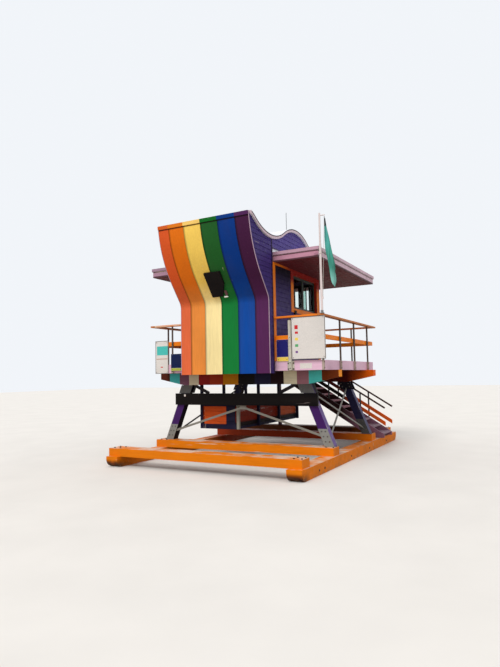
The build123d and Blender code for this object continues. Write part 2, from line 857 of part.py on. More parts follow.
# Flagpole on the railing's corner, held at the canopy, with an arm, a rope and a limp flag
pole_radius = pole_diameter / 2
pole_y = -canopy_lip - pole_gap - pole_radius
arm_height = pole_top - 60
halyard_head = (arm_end - halyard_diameter, arm_height - arm_diameter / 2 - seat_gap)
halyard_foot = (pole_x + pole_radius + halyard_diameter, cleat_height + cleat_size + seat_gap)
halyard_run = Vector(*halyard_head) - Vector(*halyard_foot)
flag_left = halyard_foot[0] + (flag_top - halyard_foot[1]) * halyard_run.X / halyard_run.Y
flag_left += halyard_diameter / 2 + 2 * seat_gap
with BuildPart() as flagpole:
    with BuildSketch(level(rail_top)):
        with Locations((pole_x, pole_y)):
            Circle(pole_radius)
    extrude(amount=canopy_top - rail_top + 30)
    with BuildSketch(level(canopy_top)):
        with Locations((pole_x, pole_y)):
            Circle(mast_diameter / 2)
    extrude(amount=pole_top - canopy_top)
    with BuildSketch(along(pole_x)):
        with Locations((pole_y, arm_height)):
            Circle(arm_diameter / 2)
    extrude(amount=arm_reach)
    with BuildSketch(across(pole_y + cleat_size / 6)):
        rectangle(pole_x, halyard_foot[0] + halyard_diameter, cleat_height, cleat_height + cleat_size)
    extrude(amount=cleat_size / 3)
    with BuildSketch(level(ceiling + 40)):
        rectangle(canopy_half - 100, canopy_half, -strap_thickness, 0)
        rectangle(canopy_half - strap_thickness, canopy_half, pole_y, 0)
        rectangle(canopy_half - strap_thickness, pole_x, pole_y - strap_thickness / 2, pole_y + strap_thickness / 2)
        with Locations((pole_x, pole_y)):
            Circle(pole_radius + strap_thickness)
    extrude(amount=50)

with BuildPart() as halyard:
    with BuildLine(across(pole_y)) as rope:
        Line(halyard_foot, halyard_head)
    with BuildSketch(Plane(origin=rope.line @ 0, z_dir=rope.line % 0)):
        Circle(halyard_diameter / 2)
    sweep(path=rope.line)

with BuildPart() as flag:
    with BuildSketch(across(pole_y + flag_thickness / 2)):
        outline(
            (flag_left, flag_top),
            (flag_left - 10, flag_top - flag_length / 3),
            (flag_left + 30, flag_top - flag_length * 0.7),
            (flag_tip_x, flag_top - flag_length),
            (flag_right, flag_top - flag_length * 0.87),
            (flag_right - 60, flag_top - flag_length * 0.64),
            (flag_left + 60, flag_top - flag_length * 0.15),
            (flag_left + 25, flag_top),
        )
    extrude(amount=flag_thickness)

with BuildPart() as aerial:
    with BuildSketch(level(trough_height)):
        with Locations((aerial_x, aerial_y)):
            Circle(aerial_diameter / 2)
    extrude(amount=crest_height - trough_height + aerial_height)
    with BuildSketch(along(aerial_x - aerial_diameter)):
        above_roof(0, Mode.ADD)
    extrude(amount=2 * aerial_diameter, mode=Mode.INTERSECT)

# Boards hung on the back railings, and the dark panel on the leaning wall
post_face = back_line - post_reach
board_face = back_line + post_radius
with BuildPart() as sign_boards:
    for face, boards in (
        (post_face, (large_board, left_small_board)),
        (board_face, (small_board, left_large_board)),
    ):
        with BuildSketch(across(face)):
            for left, right, low, high in boards:
                rectangle(left, right, deck_top + low, deck_top + high)
        extrude(amount=board_thickness)

# The panel lies on the slope, measured up from the knee, with its lower right corner cut off
lean = radians(wall_lean)
slope_y = wall_face - knee_radius * (1 - cos(lean))
slope_z = knee_height + knee_radius * sin(lean)
slope_face = Plane(
    origin=(-middle_x, slope_y - middle_y, slope_z),
    x_dir=(1, 0, 0),
    z_dir=(0, -cos(lean), -sin(lean)),
)
with BuildPart() as wall_panel:
    with BuildSketch(slope_face):
        outline(
            (panel_left, panel_foot),
            (panel_cut_left, panel_foot),
            (panel_right, panel_foot + panel_cut_rise),
            (panel_right, panel_head),
            (panel_left, panel_head),
        )
    extrude(amount=panel_depth)

pieces = {
    "skid_runners": skid_runners,
    "skid_beams": skid_beams,
    "legs": legs,
    "leg_shoes": leg_shoes,
    "leg_gussets": leg_gussets,
    "headers": headers,
    "sign_beam": sign_beam,
    "back_braces": back_braces,
    "side_braces": side_braces,
    "deck_joists": deck_joists,
    "deck_fascia": deck_fascia,
    "deck_floor": deck_floor,
    "landing_frame": landing_frame,
    "landing_prop": landing_prop,
    "landing_floor": landing_floor,
    "rail_right": rail_right,
    "rail_left": rail_left,
    "rail_back": rail_back,
    "rail_front": rail_front,
    "rail_landing": rail_landing,
    "stair_stringers": stair_stringers,
    "stair_treads": stair_treads,
    "stair_rails": stair_rails,
    "wall_right": wall_right,
    "wall_left": wall_left,
    "wall_front": wall_front,
    "window_frames": window_frames,
    "window_glass": window_glass,
    "wall_trim": wall_trim,
    "striped_wall": striped_wall,
    "wall_cap": wall_cap,
    "flare_sides": flare_sides,
    "wave_roof": wave_roof,
    "roof_gables": roof_gables,
    "canopy_fascia": canopy_fascia,
    "canopy_soffit": canopy_soffit,
    "canopy_roof": canopy_roof,
    "locker_frame": locker_frame,
    "locker_panels": locker_panels,
    "flagpole": flagpole,
    "halyard": halyard,
    "flag": flag,
    "aerial": aerial,
    "sign_boards": sign_boards,
    "wall_panel": wall_panel,
}

os.makedirs("parts", exist_ok=True)
for name, piece in pieces.items():
    piece.part.label = name
    export_step(piece.part, f"parts/{name}.step")
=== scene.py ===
from math import atan, cos, degrees, pi, radians, sin
import random

import bmesh
import bpy
from mathutils import Matrix, Vector


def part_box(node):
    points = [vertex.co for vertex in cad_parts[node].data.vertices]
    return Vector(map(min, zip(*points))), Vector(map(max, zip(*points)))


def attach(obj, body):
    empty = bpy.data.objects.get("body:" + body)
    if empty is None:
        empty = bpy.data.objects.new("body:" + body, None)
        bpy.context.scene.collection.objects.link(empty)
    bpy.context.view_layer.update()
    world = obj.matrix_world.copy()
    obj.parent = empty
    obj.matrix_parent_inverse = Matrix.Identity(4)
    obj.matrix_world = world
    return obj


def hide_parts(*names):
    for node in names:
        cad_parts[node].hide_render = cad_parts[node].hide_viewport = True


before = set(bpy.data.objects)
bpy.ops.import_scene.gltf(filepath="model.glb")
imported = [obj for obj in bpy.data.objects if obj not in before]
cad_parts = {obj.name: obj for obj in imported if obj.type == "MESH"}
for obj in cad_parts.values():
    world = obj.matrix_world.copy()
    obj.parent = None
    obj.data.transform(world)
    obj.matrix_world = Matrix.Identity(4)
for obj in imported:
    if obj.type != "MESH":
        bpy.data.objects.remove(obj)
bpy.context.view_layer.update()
random.seed(7)

# Sizes in metres, from the middle of the cabin's striped wall on the ground
middle = Vector((0.1375, 2.2525, 0))
seat_gap = 0.0003
cabin_half, cabin_front = 1.277, 3.0
deck_left, deck_right, deck_depth, deck_top = -2.3765, 2.4665, 4.23, 2.5
landing_left = -1.78
header_top = 2.265
ceiling, canopy_top = 4.925, 5.17
sill, head = 3.9, 4.81
window_back, window_front = 1.1, 2.8
rail_top = 3.567
stair_head, stair_going, stair_rise = -0.73, 0.31, 2.5 / 13
stair_back, stair_front = 4.33, 5.27


# Materials, which count their places from the middle of the whole tower
def rgb(red, green, blue):
    """Linear colour from values of 0 to 255 as a screen shows them."""
    return [((value / 255 + 0.055) / 1.055) ** 2.4 for value in (red, green, blue)] + [1]


# Where a paint changes: between the back and the front leg frames, and on faces turned to the right, which
# take painted light and shade
between_frames = (-1.0, -0.9)
side_light_facing = (0.6, 0.8)


class Shader:
    """Node material that is put together from sockets."""

    def __init__(self, name):
        self.material = bpy.data.materials.new(name)
        self.material.use_nodes = True
        self.nodes = self.material.node_tree.nodes
        self.surface = self.nodes["Principled BSDF"]
        self.place = self.add("ShaderNodeTexCoord").outputs["Object"]
        geometry = self.add("ShaderNodeNewGeometry").outputs
        self.island = geometry["Random Per Island"]
        self.x, self.y, self.z = self.add("ShaderNodeSeparateXYZ", Vector=self.place).outputs
        facing = self.add("ShaderNodeSeparateXYZ", Vector=geometry["Normal"]).outputs
        self.facing_x, self.facing_y, self.facing_z = facing

    def add(self, kind, settings=(), **sockets):
        """Node with its settings and the values or links of its inputs."""
        node = self.nodes.new(kind)
        for name, value in dict(settings).items():
            setattr(node, name, value)
        for name, value in sockets.items():
            self.feed(node.inputs[name.replace("_", " ")], value)
        return node

    def feed(self, socket, value):
        """Link or value for an input."""
        if isinstance(value, bpy.types.NodeSocket):
            self.material.node_tree.links.new(value, socket)
        else:
            socket.default_value = value

    def math(self, operation, first, second=0.5, third=0.0):
        """Result of a sum on sockets or numbers."""
        node = self.add("ShaderNodeMath", {"operation": operation})
        for socket, value in zip(node.inputs, (first, second, third)):
            self.feed(socket, value)
        return node.outputs[0]

    def times(self, first, second):
        """Product of two sockets or numbers."""
        return self.math("MULTIPLY", first, second)

    def limits(self, value, low, high, start=0.0, end=1.0):
        """Value moved from low and high to start and end, and held between them."""
        node = self.add("ShaderNodeMapRange", Value=value)
        for name, number in (("From Min", low), ("From Max", high), ("To Min", start), ("To Max", end)):
            node.inputs[name].default_value = number
        return node.outputs[0]

    def noise(self, scale, grain="", detail=4.0):
        """Soft noise from 0 to 1, drawn out along the grain's axis."""
        stretch = [scale * 0.07 if axis == grain else scale for axis in "XYZ"]
        spot = self.add("ShaderNodeMapping", Vector=self.place, Scale=stretch).outputs[0]
        return self.add("ShaderNodeTexNoise", Vector=spot, Scale=1.0, Detail=detail).outputs[0]

    def spread(self, noise, low, high):
        """Noise's usual values, 0.3 to 0.7, moved to low and high."""
        return self.limits(noise, 0.3, 0.7, low, high)

    def mix(self, amount, first, second):
        """Colour between two colours."""
        node = self.add("ShaderNodeMix", {"data_type": "RGBA"})
        for index, value in ((0, amount), (6, first), (7, second)):
            self.feed(node.inputs[index], value)
        return node.outputs[2]

    def fade(self, position, low, high, first, second):
        """Colour that turns from the first to the second between two positions."""
        return self.mix(self.limits(position, low, high), first, second)

    def shade(self, color, amount):
        """Colour made darker or lighter by an amount."""
        node = self.add("ShaderNodeVectorMath", {"operation": "SCALE"})
        if isinstance(color, bpy.types.NodeSocket):
            self.feed(node.inputs[0], color)
        else:
            node.inputs[0].default_value = color[:3]
        self.feed(node.inputs["Scale"], amount)
        return node.outputs[0]

    def blocks(self, position, start, ends, colors):
        """Colours one after another, each up to its end along a position."""
        reach = ends[-1] - start
        ramp = self.add("ShaderNodeValToRGB", Fac=self.limits(position, start, ends[-1]))
        ramp.color_ramp.interpolation = "CONSTANT"
        stops = ramp.color_ramp.elements
        stops[0].color = colors[0]
        stops.remove(stops[1])
        for end, color in zip(ends, colors[1:]):
            stops.new((end - start) / reach).color = color
        return ramp.outputs[0]

    def finish(self, color, roughness, bump, depth, metallic=0.0, specular=0.5):
        """Material with its colour, roughness and bump linked."""
        self.feed(self.surface.inputs["Base Color"], color)
        self.feed(self.surface.inputs["Roughness"], roughness)
        self.surface.inputs["Metallic"].default_value = metallic
        self.surface.inputs["Specular IOR Level"].default_value = specular
        relief = self.add("ShaderNodeBump", Height=bump)
        relief.inputs["Strength"].default_value = 0.6
        relief.inputs["Distance"].default_value = depth
        self.feed(self.surface.inputs["Normal"], relief.outputs[0])
        return self.material


def painted_timber(shader, color, grain, wear, dirt, gloss, bare=rgb(214, 196, 172), per_board=0.0):
    """Paint on timber: uneven tone, grain, patches worn to the wood, and grime."""
    streaks = shader.noise(45, grain, 5)
    tone = shader.times(shader.spread(shader.noise(1.1), 0.9, 1.06), shader.spread(streaks, 0.93, 1.05))
    if per_board:
        tone = shader.times(tone, shader.limits(shader.island, 0, 1, 1 - per_board, 1 + per_board))
    scuffs = shader.math("MULTIPLY_ADD", streaks, 0.35, shader.noise(7, grain, 6))
    worn = shader.limits(scuffs, 0.92 - 0.24 * wear, 0.98 - 0.2 * wear, 0, 0.85)
    painted = shader.mix(worn, shader.shade(color, tone), bare)
    soiled = shader.limits(shader.noise(2.2, grain, 3), 0.5, 0.8, 0, dirt)
    painted = shader.mix(soiled, painted, rgb(70, 58, 50))
    roughness = shader.spread(shader.noise(9), gloss - 0.08, gloss + 0.14)
    bump = shader.math("SUBTRACT", streaks, shader.times(worn, 0.6))
    return shader.finish(painted, roughness, bump, 0.0025, specular=0.1)


def faded(shader, color, fades):
    """Colour that turns to others: each fade has its axis, start, end and the colour beyond its end."""
    color = rgb(*color)
    for axis, start, end, other in fades:
        color = shader.fade(getattr(shader, axis), start, end, color, rgb(*other))
    return color


def timber(name, color, grain, wear, dirt, gloss, bare=(214, 196, 172), per_board=0.0, fades=()):
    """Timber painted in one colour or a few that fade into each other."""
    shader = Shader(name)
    color = faded(shader, color, fades)
    return painted_timber(shader, color, grain, wear, dirt, gloss, rgb(*bare), per_board)


def steel(name, color, rust, spangle=14.0, metallic=0.55, fades=()):
    """Dull zinc coating with a spangle and rust stains."""
    shader = Shader(name)
    flakes = shader.add("ShaderNodeTexVoronoi", Vector=shader.place, Scale=spangle).outputs["Color"]
    flake = shader.add("ShaderNodeSeparateXYZ", Vector=flakes).outputs[0]
    tone = shader.times(shader.limits(flake, 0, 1, 0.86, 1.08),
                        shader.spread(shader.noise(3, "Z"), 0.82, 1.05))
    coated = shader.shade(faded(shader, color, fades), tone)
    stains = shader.limits(shader.noise(6, "Z", 6), 0.62 - 0.2 * rust, 0.78 - 0.1 * rust, 0, 0.7)
    stained = shader.mix(stains, coated, rgb(112, 66, 40))
    roughness = shader.spread(shader.noise(11), 0.42, 0.62)
    return shader.finish(stained, roughness, shader.noise(60), 0.0008, metallic=metallic)


def skid_material():
    """Orange paint, worn to pale wood on the tops, with tarred tips and scrapes near the ground, painted
    shade on the beams under the tower and painted shade on the downward faces.
    """
    shader = Shader("skid orange")
    flat = shader.limits(shader.facing_z, 0.4, 0.8)
    rubbed = shader.limits(shader.noise(2.4, "", 6), 0.42, 0.6, 0, 0.75)
    color = shader.mix(shader.times(flat, rubbed), rgb(228, 122, 6), rgb(222, 205, 186))
    # The front beams under the tower turn dark red, and the landing beam nearly black: painted shade from
    # the deck above
    front = shader.limits(shader.y, 0.0, 1.0)
    inside = shader.limits(shader.x, 1.2, 2.35, 0.92, 0)
    shaded = shader.fade(shader.y, 1.5, 2.8, rgb(136, 36, 20), rgb(40, 16, 14))
    color = shader.mix(shader.times(front, inside), color, shaded)
    # Faces turned downwards are darkened: painted shade
    under = shader.limits(shader.facing_z, -0.55, -0.15, 1, 0)
    color = shader.mix(shader.times(under, 0.85), color, rgb(92, 40, 26))
    back_end = shader.limits(shader.y, -3.8, -3.45, 1, 0)
    tip = shader.times(back_end, shader.limits(shader.z, 0.05, 0.2, 1, 0))
    tarred = shader.times(tip, shader.limits(shader.noise(6, "", 5), 0.34, 0.5))
    color = shader.mix(tarred, color, rgb(50, 28, 22))
    low = shader.limits(shader.z, 0.0, 0.12, 0.55, 0)
    scraped = shader.limits(shader.noise(8, "", 6), 0.4, 0.62)
    color = shader.mix(shader.times(low, scraped), color, rgb(150, 112, 82))
    return painted_timber(shader, color, "X", wear=0.25, dirt=0.22, gloss=0.52)


def leg_material():
    """Purple back legs and navy front legs, with painted light making the right-facing sides paler and
    painted shade making the left pair's right-facing sides nearly black.
    """
    shader = Shader("leg paint")
    front = shader.limits(shader.y, *between_frames)
    face = shader.mix(front, rgb(66, 30, 94), rgb(36, 34, 66))
    # Right-facing sides: a paler copy as painted light, and nearly black on the left pair as painted shade
    flank_light_and_shade = shader.mix(front, rgb(104, 82, 138), rgb(78, 76, 108))
    flank_light_and_shade = shader.fade(shader.x, -0.1, 0.1, rgb(22, 16, 30), flank_light_and_shade)
    color = shader.fade(shader.facing_x, *side_light_facing, face, flank_light_and_shade)
    return painted_timber(shader, color, "Z", wear=0.3, dirt=0.3, gloss=0.45)


def header_material():
    """Blocks of colour along the back header, with its right-facing ends brightened to orange as painted
    light, and orange on the front one, turned maroon towards its left end as painted shade under the deck.
    """
    shader = Shader("header paint")
    blocks = (
        (-2.294, (80, 28, 12)), (-1.954, (74, 192, 192)), (-1.645, (124, 80, 100)),
        (-1.319, (219, 206, 176)), (-0.968, (142, 26, 24)), (-0.54, (162, 50, 14)),
        (-0.072, (200, 128, 6)), (0.413, (20, 16, 16)), (0.874, (32, 30, 62)),
        (1.233, (34, 10, 16)), (1.585, (230, 222, 190)), (1.907, (160, 110, 120)),
        (2.242, (84, 212, 204)), (2.7, (112, 46, 8)),
    )
    ends = [end - middle.x for end, color in blocks]
    row = shader.blocks(shader.x, -2.7 - middle.x, ends, [rgb(*color) for end, color in blocks])
    # Right-facing ends are a bright orange: painted light
    row = shader.fade(shader.facing_x, *side_light_facing, row, rgb(250, 148, 14))
    # The front header is maroon towards its left and orange at its right end: painted shade under the deck
    front_row_painted_shade = shader.fade(shader.x, 1.75, 2.35, rgb(84, 20, 16), rgb(250, 106, 12))
    row = shader.fade(shader.y, *between_frames, row, front_row_painted_shade)
    return painted_timber(shader, row, "X", wear=0.25, dirt=0.3, gloss=0.5)


# The striped wall: where each stripe ends, and its colour low down, high up and on the cap
stripes = (
    (-0.975, rgb(228, 106, 62), rgb(224, 90, 38), rgb(214, 96, 36)),
    (-0.533, rgb(233, 140, 60), rgb(230, 114, 16), rgb(226, 122, 26)),
    (-0.039, rgb(255, 232, 166), rgb(255, 212, 98), rgb(250, 206, 112)),
    (0.437, rgb(14, 122, 52), rgb(32, 94, 38), rgb(14, 104, 32)),
    (0.910, rgb(0, 72, 158), rgb(0, 56, 136), rgb(0, 56, 132)),
    (cabin_half, rgb(86, 34, 84), rgb(70, 26, 64), rgb(82, 38, 88)),
)
cap_end = 1.4


def stripe_material(name, low_color, high_color, seam):
    """Stripe's paint: deeper in colour on the overhang, with a painted shadow under the cap and painted
    shade along the stripe's left edge beside the seam.
    """
    shader = Shader(name)
    color = shader.fade(shader.z, 3.95, 4.5, low_color, high_color)
    # Painted shade along the stripe's left edge, beside the seam
    color = shader.shade(color, shader.limits(shader.x, seam + 0.01, seam + 0.06, 0.42, 1))
    # Painted shadow of the cap in a thin band under it
    color = shader.mix(shader.limits(shader.z, 5.776, 5.78, 0, 0.8), color, rgb(30, 14, 14))
    return painted_timber(shader, color, "Z", wear=0.1, dirt=0.14, gloss=0.42)


def cap_material():
    """The wall's colours again on its cap."""
    shader = Shader("cap paint")
    ends = [stripe[0] - middle.x for stripe in stripes[:-1]] + [cap_end - middle.x]
    row = shader.blocks(shader.x, -cap_end - middle.x, ends, [stripe[3] for stripe in stripes])
    return painted_timber(shader, row, "X", wear=0.12, dirt=0.2, gloss=0.5)


def felted(shader, edge):
    """Pale gritty sheeting on the flat faces, and the edge's own colour round them."""
    top = shader.limits(shader.math("ABSOLUTE", shader.facing_z), 0.25, 0.4)
    grit = shader.spread(shader.noise(180, "", 2), 0.93, 1.04)
    return shader.mix(top, edge, shader.shade(rgb(228, 226, 230), grit))


def roof_material():
    """Sheeting on the wave roof, and pale painted edges."""
    shader = Shader("roof felt")
    return painted_timber(shader, felted(shader, rgb(216, 192, 200)), "Y", wear=0.15, dirt=0.2, gloss=0.7)


def canopy_material(name, left_color, color, roof):
    """Faded mauve edges, greyer at the left end, with a painted shadow line under the roof plate's lip and
    a darker foot, and sheeting on a roof.
    """
    shader = Shader(name)
    edge = shader.fade(shader.x, -1.3, 0.8, left_color, color)
    edge = shader.fade(shader.facing_x, 0.4, 0.6, edge, rgb(214, 183, 196))
    # A dark band under the roof plate's lip is painted shadow, and the fascia is darkened along its foot
    over_step = shader.limits(shader.z, 5.055, 5.07, 0, 0.7)
    seam = shader.times(over_step, shader.limits(shader.z, 5.09, 5.1, 1, 0))
    foot = shader.limits(shader.z, ceiling + 0.03, ceiling + 0.04, 0.9, 0)
    edge = shader.mix(shader.math("MAXIMUM", seam, foot), edge, rgb(70, 36, 42))
    if roof:
        edge = felted(shader, edge)
    return painted_timber(shader, edge, "X", wear=0.18, dirt=0.22, gloss=0.55)


def pole_material():
    """White paint on the pole, and the canopy's mauve on its strap."""
    shader = Shader("pole white")
    strap = shader.times(shader.limits(shader.x, 2.494 - middle.x, 2.49 - middle.x),
                         shader.limits(shader.z, 4.95, 4.955))
    color = shader.mix(strap, rgb(232, 216, 212), rgb(182, 131, 149))
    return painted_timber(shader, color, "Z", wear=0.2, dirt=0.2, gloss=0.35, bare=rgb(150, 148, 146))


def glass_material(name, light, dark):
    """Clear glass between two faint tints, with a film of salt."""
    shader = Shader(name)
    film = shader.limits(shader.noise(5, "Z", 6), 0.5, 0.8, 0.0, 0.08)
    tint = shader.mix(shader.noise(2, "Z"), light, dark)
    shader.surface.inputs["Transmission Weight"].default_value = 1.0
    shader.surface.inputs["IOR"].default_value = 1.05
    return shader.finish(tint, film, shader.noise(3), 0.0001)


def cloth_material():
    """Thin woven cloth, faded at its lower end, with a dark head and shaded folds."""
    shader = Shader("flag cloth")
    weave = shader.add("ShaderNodeTexWave", Vector=shader.place, Scale=160.0, Distortion=0.4).outputs[0]
    tone = shader.times(shader.limits(shader.noise(26, "Z", 2), 0.35, 0.65, 0.66, 1.18),
                        shader.limits(weave, 0, 1, 0.95, 1.03))
    lower = shader.fade(shader.z, 4.3, 4.6, rgb(128, 190, 178), rgb(64, 146, 128))
    upper = shader.fade(shader.z, 5.58, 5.62, rgb(74, 160, 150), rgb(48, 58, 60))
    color = shader.shade(shader.fade(shader.z, 4.9, 5.2, lower, upper), tone)
    shader.surface.inputs["Sheen Weight"].default_value = 0.3
    return shader.finish(color, 0.85, weave, 0.0006, specular=0.2)


def rope_material():
    """Braided rope."""
    shader = Shader("braided rope")
    braid = shader.add("ShaderNodeTexWave", {"bands_direction": "DIAGONAL"},
                       Vector=shader.place, Scale=55.0, Distortion=0.6).outputs[0]
    color = shader.mix(braid, rgb(150, 144, 134), rgb(222, 216, 204))
    return shader.finish(color, 0.85, braid, 0.001, specular=0.2)


def trim_material():
    """Orange trim that turns dark red high up towards the front, where the canopy keeps it in the shade."""
    shader = Shader("trim orange")
    high = shader.limits(shader.z, 4.5, 4.66)
    far = shader.limits(shader.y, 0.3 - middle.y, 1.0 - middle.y)
    color = shader.mix(shader.times(high, far), rgb(236, 126, 28), rgb(150, 24, 14))
    return painted_timber(shader, color, "Z", wear=0.14, dirt=0.2, gloss=0.45)


# Steel has its colour and rust first, and timber its colour, grain, wear, dirt and gloss
materials = [
    steel("galvanised steel", (150, 152, 152), 0.25),
    steel("pale bracket", (206, 200, 182), 0.2, 20.0, 0.2),
    steel("board frame steel", (112, 106, 102), 0.2, 30.0, 0.3),
    steel("bolt steel", (108, 104, 102), 0.7, 30.0),
    # The brace steel turns nearly black on the left side braces: painted shade
    steel("brace steel", (132, 130, 122), 0.4, 20.0, 0.4, [("x", -1.2, -1.3, (40, 38, 40))]),
    steel("dark bolt", (52, 42, 40), 0.8, 30.0, 0.3),
    steel("sash metal", (50, 60, 54), 0.1, 30.0, 0.3),
    timber("sash black", (14, 14, 14), "Z", 0.1, 0.1, 0.5, (60, 58, 56)),
    timber("curb white", (252, 252, 252), "Y", 0.0, 0.05, 0.6),
    timber("sign black", (10, 4, 6), "X", 0.08, 0.15, 0.4, (110, 100, 96)),
    timber("joist paint", (46, 22, 28), "Y", 0.2, 0.4, 0.6),
    timber("fascia mauve", (228, 186, 206), "X", 0.25, 0.2, 0.5),
    timber("landing mauve", (130, 66, 84), "X", 0.25, 0.3, 0.5),
    timber("deck boards", (150, 112, 108), "X", 0.5, 0.35, 0.62, per_board=0.12),
    timber("rail cap", (232, 124, 36), "X", 0.42, 0.25, 0.5, per_board=0.06),
    # The side rails' caps are a darker tan copy of the cap orange: painted shade
    timber("rail cap side", (200, 120, 62), "Y", 0.42, 0.25, 0.5, per_board=0.06),
    timber("rail orange", (245, 132, 22), "X", 0.2, 0.18, 0.45),
    timber("rail orange side", (245, 132, 22), "Y", 0.2, 0.18, 0.45),
    timber("landing post paint", (58, 32, 44), "Z", 0.15, 0.35, 0.55),
    timber("pipe brown", (66, 34, 24), "X", 0.2, 0.2, 0.4, (120, 90, 80)),
    timber("stair post steel", (64, 64, 66), "Z", 0.2, 0.3, 0.4, (130, 128, 126)),
    timber("siding violet", (62, 45, 112), "Y", 0.1, 0.22, 0.5, per_board=0.05),
    timber("siding violet front", (62, 45, 112), "X", 0.1, 0.22, 0.5, per_board=0.05),
    timber("inner violet", (108, 96, 128), "Z", 0.1, 0.3, 0.6),
    timber("corner purple", (42, 26, 62), "Z", 0.12, 0.25, 0.5),
    timber("reveal red", (170, 40, 14), "Z", 0.15, 0.3, 0.5),
    timber("lamp white", (240, 236, 226), "Z", 0.06, 0.12, 0.4),
    timber("lamp rose", (112, 78, 80), "Z", 0.06, 0.2, 0.4),
    timber("edge pink", (196, 168, 186), "Z", 0.15, 0.2, 0.5),
    timber("gable purple", (80, 64, 134), "Y", 0.1, 0.2, 0.5, per_board=0.05),
    timber("soffit maroon", (106, 40, 50), "Y", 0.1, 0.3, 0.55, per_board=0.08),
    timber("locker navy", (30, 28, 54), "Z", 0.05, 0.3, 0.5),
    timber("locker gray", (150, 150, 138), "Z", 0.3, 0.3, 0.6),
    timber("locker orange", (214, 84, 28), "X", 0.25, 0.35, 0.5, per_board=0.1),
    timber("panel black", (20, 16, 18), "Z", 0.06, 0.12, 0.4, (90, 84, 84)),
    timber("board white", (224, 217, 210), "", 0.06, 0.12, 0.35, (190, 180, 170)),
    timber("board navy", (34, 32, 108), "", 0.06, 0.12, 0.35, (120, 120, 150)),
    timber("board ink", (14, 30, 74), "", 0.06, 0.12, 0.35, (150, 150, 170)),
]
for tone, color in (
    ("teal", (78, 190, 180)), ("yellow", (246, 212, 92)), ("lime", (178, 186, 72)),
    ("brown", (192, 150, 132)), ("red", (206, 44, 48)), ("green", (90, 170, 110)),
    ("purple", (120, 80, 140)),
):
    materials.append(timber(f"board {tone}", color, "", 0.06, 0.1, 0.35))

# Paints that change from place to place, most of them darker where the tower shades itself
materials += [
    timber("shoe plate", (138, 138, 132), "Z", 0.3, 0.4, 0.45, (140, 134, 126),
           fades=[("y", *between_frames, (84, 86, 86))]),
    timber("gusset plate", (96, 94, 92), "Z", 0.3, 0.4, 0.45, (140, 134, 126),
           fades=[("y", *between_frames, (28, 24, 34))]),
    timber("back brace paint", (134, 130, 120), "X", 0.3, 0.35, 0.45, (170, 160, 146),
           fades=[("z", 1.705, 1.715, (40, 34, 38))]),
    # Stair stringers, treads and boards are dark where the deck is over them and turn lighter beyond it:
    # painted shade
    timber("stair maroon", (46, 14, 20), "X", 0.3, 0.3, 0.5, (150, 120, 130),
           fades=[("x", 1.25, 1.75, (150, 106, 126))]),
    timber("tread mauve", (140, 92, 102), "Y", 0.3, 0.3, 0.5, (150, 120, 130),
           fades=[("x", 1.25, 1.75, (146, 118, 130))]),
    timber("stair board", (26, 10, 14), "X", 0.2, 0.18, 0.45,
           fades=[("y", 2.4, 2.6, (88, 22, 18)), ("x", 1.3, 1.55, (244, 104, 34))]),
    # Locker side boards: darker red towards the back and nearly black at the foot, as painted shade
    timber("locker red", (132, 36, 14), "Y", 0.2, 0.35, 0.5, per_board=0.1,
           fades=[("y", 1.05, 1.2, (196, 84, 34)), ("z", 0.95, 0.9, (24, 14, 16))]),
    # Cabin siding darkens near the ceiling: painted shade under the canopy
    timber("cabin siding", (60, 45, 104), "Y", 0.1, 0.22, 0.5, per_board=0.05,
           fades=[("z", 4.15, 4.75, (24, 18, 38))]),
    timber("railing post steel", (104, 92, 84), "Z", 0.2, 0.35, 0.5, (150, 148, 144),
           fades=[("z", deck_top + 0.02, deck_top - 0.01, (176, 158, 146))]),
    canopy_material("canopy mauve", rgb(178, 138, 156), rgb(212, 152, 172), False),
    canopy_material("canopy felt", rgb(166, 134, 152), rgb(204, 162, 178), True),
    glass_material("window glass", rgb(250, 254, 253), rgb(240, 250, 248)),
    glass_material("window film", rgb(176, 206, 196), rgb(160, 196, 186)),
    skid_material(), leg_material(), header_material(), cap_material(), trim_material(),
    roof_material(), pole_material(), cloth_material(), rope_material(),
]
paints = {material.name: material for material in materials}


def soften(thing, width):
    """Rounded edges where faces meet at more than 35 degrees."""
    rounded = thing.modifiers.new("rounded", "BEVEL")
    rounded.width = width
    rounded.segments = 2
    rounded.limit_method = "ANGLE"
    rounded.angle_limit = radians(35)


# Paints and soft edges for the nodes that keep their CAD shape
for nodes, paint, bevel in (
    ("skid_runners skid_beams", "skid orange", 0.012),
    ("legs", "leg paint", 0.008),
    ("leg_shoes", "shoe plate", 0.002),
    ("leg_gussets", "gusset plate", 0.002),
    ("headers", "header paint", 0.008),
    ("sign_beam", "sign black", 0.006),
    ("back_braces", "back brace paint", 0.002),
    ("side_braces", "brace steel", 0.002),
    ("deck_joists", "joist paint", 0.003),
    ("deck_fascia", "fascia mauve", 0.004),
    ("landing_frame", "landing mauve", 0.004),
    ("landing_prop", "landing post paint", 0.005),
    ("stair_stringers", "stair maroon", 0.004),
    ("stair_treads", "tread mauve", 0.005),
    ("wall_right wall_left wall_front flare_sides roof_gables", "inner violet", 0.0),
    ("window_frames", "sash metal", 0.003),
    ("window_glass", "window glass", 0.0),
    ("wall_trim", "trim orange", 0.003),
    ("wall_cap", "cap paint", 0.004),
    ("wall_panel", "panel black", 0.006),
    ("wave_roof", "roof felt", 0.006),
    ("canopy_fascia", "canopy mauve", 0.004),
    ("canopy_roof", "canopy felt", 0.006),
    ("locker_frame", "locker navy", 0.003),
    ("flagpole", "pole white", 0.0),
    ("halyard", "braided rope", 0.0),
    ("aerial", "galvanised steel", 0.0),
    ("sign_boards", "board white", 0.002),
):
    for node in nodes.split():
        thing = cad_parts[node]
        thing.data.materials.clear()
        thing.data.materials.append(paints[paint])
        if bevel:
            soften(thing, bevel)


